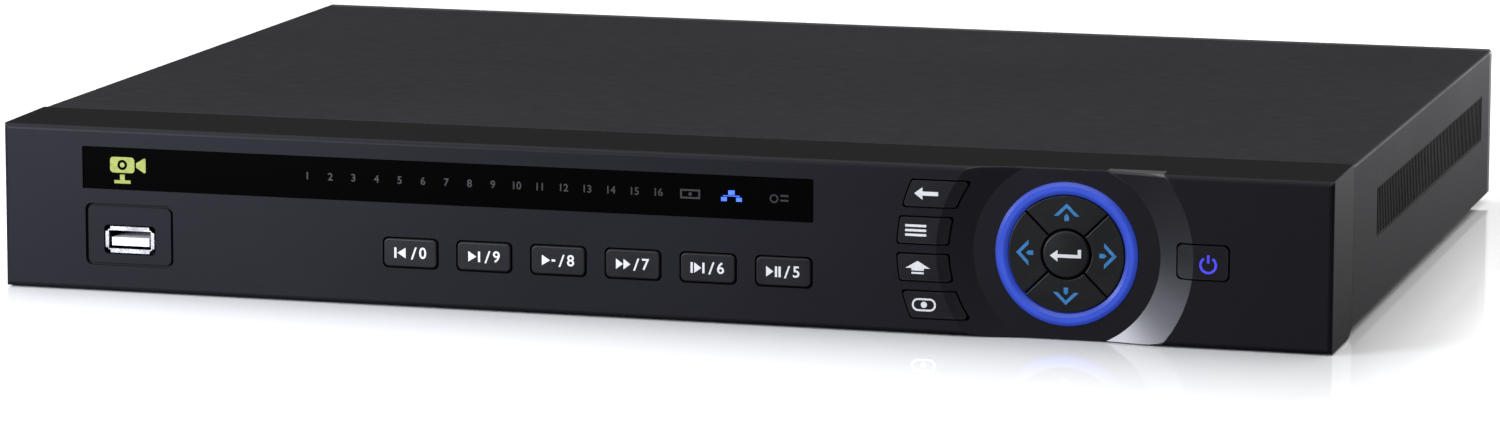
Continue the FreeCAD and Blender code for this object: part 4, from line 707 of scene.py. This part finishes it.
# ---- Front USB socket ---------------------------------------------------------------------------------
# A folded steel shell plated in bright nickel, soldered to the key board behind the bezel. Its throat is
# painted dark as painted shade, and a white moulded tongue stands in it.
bright_shell = Finish("bright_shell", grey(0.8), grey(0.93), 0.22, 0.32, mottle=120.0)
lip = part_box("front_usb_shell")[0].y
inward = bright_shell.add("SeparateXYZ", {0: bright_shell.place()})
# Painted shade: the shell's inside, past the lips, is painted dark.
throat_painted_shade = bright_shell.band(inward.outputs[1], lip + 0.0004, lip + 0.001)
bright_shell.paint(throat_painted_shade, grey(0.05))
dress(["front_usb_shell"], bright_shell.wear_and_highlight_edges(grey(0.95), 0.3, 0.0002).done(0.000004, Metallic=1.0))
tongue = Finish("tongue_plastic", grey(0.7), grey(0.82), 0.3, 0.45, mottle=200.0)
dress(["front_usb_tongue"], tongue.done(0.000005))

# ---- Transport and function keys ----------------------------------------------------------------------
# ABS caps with a fine grain, each on its own switch, with white legends printed and baked on. Transport
# keys double as digits; the function keys beside the dial follow its dish.
key_plastic = Finish(
    "key_plastic", grey(0.0095, (1.0, 0.98, 1.16)), grey(0.0125, (1.0, 0.98, 1.16)), 0.34, 0.45,
    grain=2800.0, mottle=80.0,
)
key_plastic = key_plastic.wear_and_highlight_edges(grey(0.06), 0.6, 0.0004).done(0.000008, Specular_IOR_Level=0.2)
# Painted glow: the white legends glow though no lamp shines behind them.
WHITE = ink_finish("white_ink", grey(0.6), grey(0.75), 0.12)
SYMBOL_HALF = 1.45
LEGEND_SCALE = 1.12
DIGIT_ASIDE = 3.6
DIGIT_HEIGHT = 3.1


def triangle(x, way=1.0, width=1.9):
    """A play triangle that starts at x and points the way given."""
    return [(x, -SYMBOL_HALF), (x + way * width, 0), (x, SYMBOL_HALF)]


def bar(x, width=0.55):
    """An upright bar."""
    return rectangle(x, x + width, -SYMBOL_HALF, SYMBOL_HALF)


SLASH = [(0.15, -1.7), (0.6, -1.7), (1.7, 1.7), (1.25, 1.7)]
transport_symbols = {
    "key_back_0": [bar(-4.1), triangle(-1.2, -1.0, 2.1)],
    "key_next_9": [triangle(-4.0, 1.0, 2.1), bar(-1.5)],
    "key_slow_8": [triangle(-4.1, 1.0, 2.1), rectangle(-1.6, -0.7, -0.3, 0.3)],
    "key_fast_7": [triangle(-4.2, 1.0, 1.75), triangle(-2.3, 1.0, 1.75)],
    "key_step_6": [bar(-4.3), triangle(-3.4, 1.0, 1.8), bar(-1.35)],
    "key_pause_5": [triangle(-4.3, 1.0, 1.8), bar(-2.1), bar(-1.2)],
}
for name, symbol in transport_symbols.items():
    low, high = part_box(name)
    x, z = (low.x + high.x) / 2 / MM, (low.z + high.z) / 2 / MM
    larger = [[(u * LEGEND_SCALE, v) for u, v in loop] for loop in symbol + [SLASH]]
    digit = figure(name[-1], x + DIGIT_ASIDE, z, DIGIT_HEIGHT)
    printed(name + "_legend", name, name, WHITE, loops=moved(larger, x, z), figures=[digit])
    dress([name], key_plastic)

FUNCTION_MARK_X = {"key_escape": 77.4, "key_function": 74.6, "key_shift": 75.2, "key_record": 77.0}
function_marks = {
    "key_escape": [
        [(-3.3, 0.0), (-1.0, 1.7), (-1.0, 0.55), (3.3, 0.55), (3.3, -0.55), (-1.0, -0.55), (-1.0, -1.7)],
    ],
    "key_function": [rectangle(-2.9, 2.9, v - 0.33, v + 0.33) for v in (-1.25, 0.0, 1.25)],
    "key_shift": [
        [(0, 1.8), (3.4, -0.2), (1.7, -0.2), (1.7, -0.85), (-1.7, -0.85), (-1.7, -0.2), (-3.4, -0.2)],
        rectangle(-1.7, 1.7, -1.75, -1.25),
    ],
    "key_record": [
        rounded_box(-3.3, 3.3, -1.75, 1.75, 1.7),
        rounded_box(-2.8, 2.8, -1.25, 1.25, 1.2),
        circle(0, 0, 0.85),
    ],
}
for name, marks in function_marks.items():
    low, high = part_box(name)
    x, z = FUNCTION_MARK_X[name], (low.z + high.z) / 2 / MM
    printed(name + "_legend", name, name, WHITE, loops=moved(marks, x, z))
    dress([name], key_plastic)

# ---- Power key ----------------------------------------------------------------------------------------
# A cap in the same plastic as the other keys, on its own switch at the right of the dial. Its clear power
# mark is lit from behind by a violet-blue lamp.
VIOLET = ink_finish("violet_ink", grey(1.0, (0.035, 0.03, 0.5)), grey(1.0, (0.07, 0.06, 0.8)), 0.7)
POWER_MARK = (154.2, dial.z / MM - 0.6)
power_mark = [
    bow(*POWER_MARK, 1.75, 2.4, 125, 415),
    rectangle(POWER_MARK[0] - 0.33, POWER_MARK[0] + 0.33, POWER_MARK[1] + 0.5, POWER_MARK[1] + 2.7),
]
printed("power_key_mark", "power_key", "power_key", VIOLET, loops=power_mark)
dress(["power_key"], key_plastic)

# ---- Lit ring -----------------------------------------------------------------------------------------
# Milky polycarbonate lit by eight blue lamps behind it: brightest midway across its width, and slightly
# brighter in front of each lamp.
ring = Finish(
    "lit_ring", grey(1.0, (0.011, 0.024, 0.16)), grey(1.0, (0.015, 0.032, 0.2)), 0.25, 0.35, mottle=60.0
)
from_axis = ring.add("VectorMath", {0: ring.place(), 1: (dial.x, dial.y, dial.z)}, operation="SUBTRACT")
level_only = ring.add("VectorMath", {0: from_axis.outputs[0], 1: (1.0, 0.0, 1.0)}, operation="MULTIPLY")
radius = ring.add("VectorMath", {0: level_only.outputs[0]}, operation="LENGTH")
RING_MIDDLE = 0.0178
RING_HALF = 0.0018
LAMPS = 8.0
off_middle = ring.add("Math", {0: radius.outputs["Value"], 1: RING_MIDDLE}, operation="SUBTRACT")
spread = ring.add("Math", {0: off_middle.outputs[0]}, operation="ABSOLUTE")
core = ring.band(spread.outputs[0], RING_HALF, 0.0002)
split = ring.add("SeparateXYZ", {0: from_axis.outputs[0]})
around = ring.add("Math", {0: split.outputs[2], 1: split.outputs[0]}, operation="ARCTAN2")
eighths = ring.add("Math", {0: around.outputs[0], 1: LAMPS}, operation="MULTIPLY")
wave = ring.add("Math", {0: eighths.outputs[0]}, operation="SINE")
lamps = ring.add("MapRange", {0: wave.outputs[0], 1: -1.0, 2: 1.0, 3: 0.85, 4: 1.0})
glow = ring.add("Math", {0: core, 1: lamps.outputs[0]}, operation="MULTIPLY")
light = ring.add(
    "Mix",
    {0: glow.outputs[0], 6: grey(1.0, (0.008, 0.022, 0.2)), 7: grey(1.0, (0.031, 0.07, 0.5))},
    data_type="RGBA",
)
ring.link(light.outputs[2], "Emission Color")
dress(["light_ring"], ring.done(0.000004, Emission_Strength=1.0))

# ---- Round key pad ------------------------------------------------------------------------------------
# Four quarter keys round a domed enter key, in the same ABS with a softer sheen. Each quarter has a pale
# blue chevron, and the middle key a white return arrow.
pad_plastic = Finish("pad_plastic", grey(0.0075), grey(0.0105), 0.36, 0.48, grain=2600.0, mottle=60.0)
pad_plastic = pad_plastic.wear_and_highlight_edges(grey(0.06), 0.6, 0.0004).done(0.000008, Specular_IOR_Level=0.25)
# Painted glow: the chevrons glow though no lamp shines behind them.
SKY_BLUE = ink_finish("sky_blue_ink", grey(1.0, (0.012, 0.09, 0.24)), grey(1.0, (0.03, 0.16, 0.36)), 0.55)
chevron = [(-3.5, -1.4), (0.0, 2.0), (3.5, -1.4), (2.25, -1.4), (0.0, 0.8), (-2.25, -1.4)]
tick = [(-0.6, -2.7), (0.6, -2.7), (0.6, -1.4), (0.0, -0.7), (-0.6, -1.4)]
PAD_MARK_RADIUS = 11.7
for name, degrees in {"pad_up": 0, "pad_left": 90, "pad_down": 180, "pad_right": 270}.items():
    spin = Matrix.Rotation(math.radians(degrees), 2)
    loops = []
    for shape in (chevron, tick):
        turned = [spin @ Vector((u, v + PAD_MARK_RADIUS)) for u, v in shape]
        loops.append([(dial.x / MM + p.x, dial.z / MM + p.y) for p in turned])
    printed(name + "_chevron", name, name, SKY_BLUE, loops=loops)
    dress([name], pad_plastic)

return_arrow = [
    (-4.3, -0.35), (-2.2, 1.2), (-2.2, 0.1), (3.3, 0.1), (3.3, 1.5),
    (4.2, 1.5), (4.2, -0.8), (-2.2, -0.8), (-2.2, -1.9),
]
placed = moved([return_arrow], dial.x / MM, dial.z / MM)
printed("enter_key_mark", "enter_key", "enter_key", WHITE, loops=placed, splits=4)
dress(["enter_key"], pad_plastic)
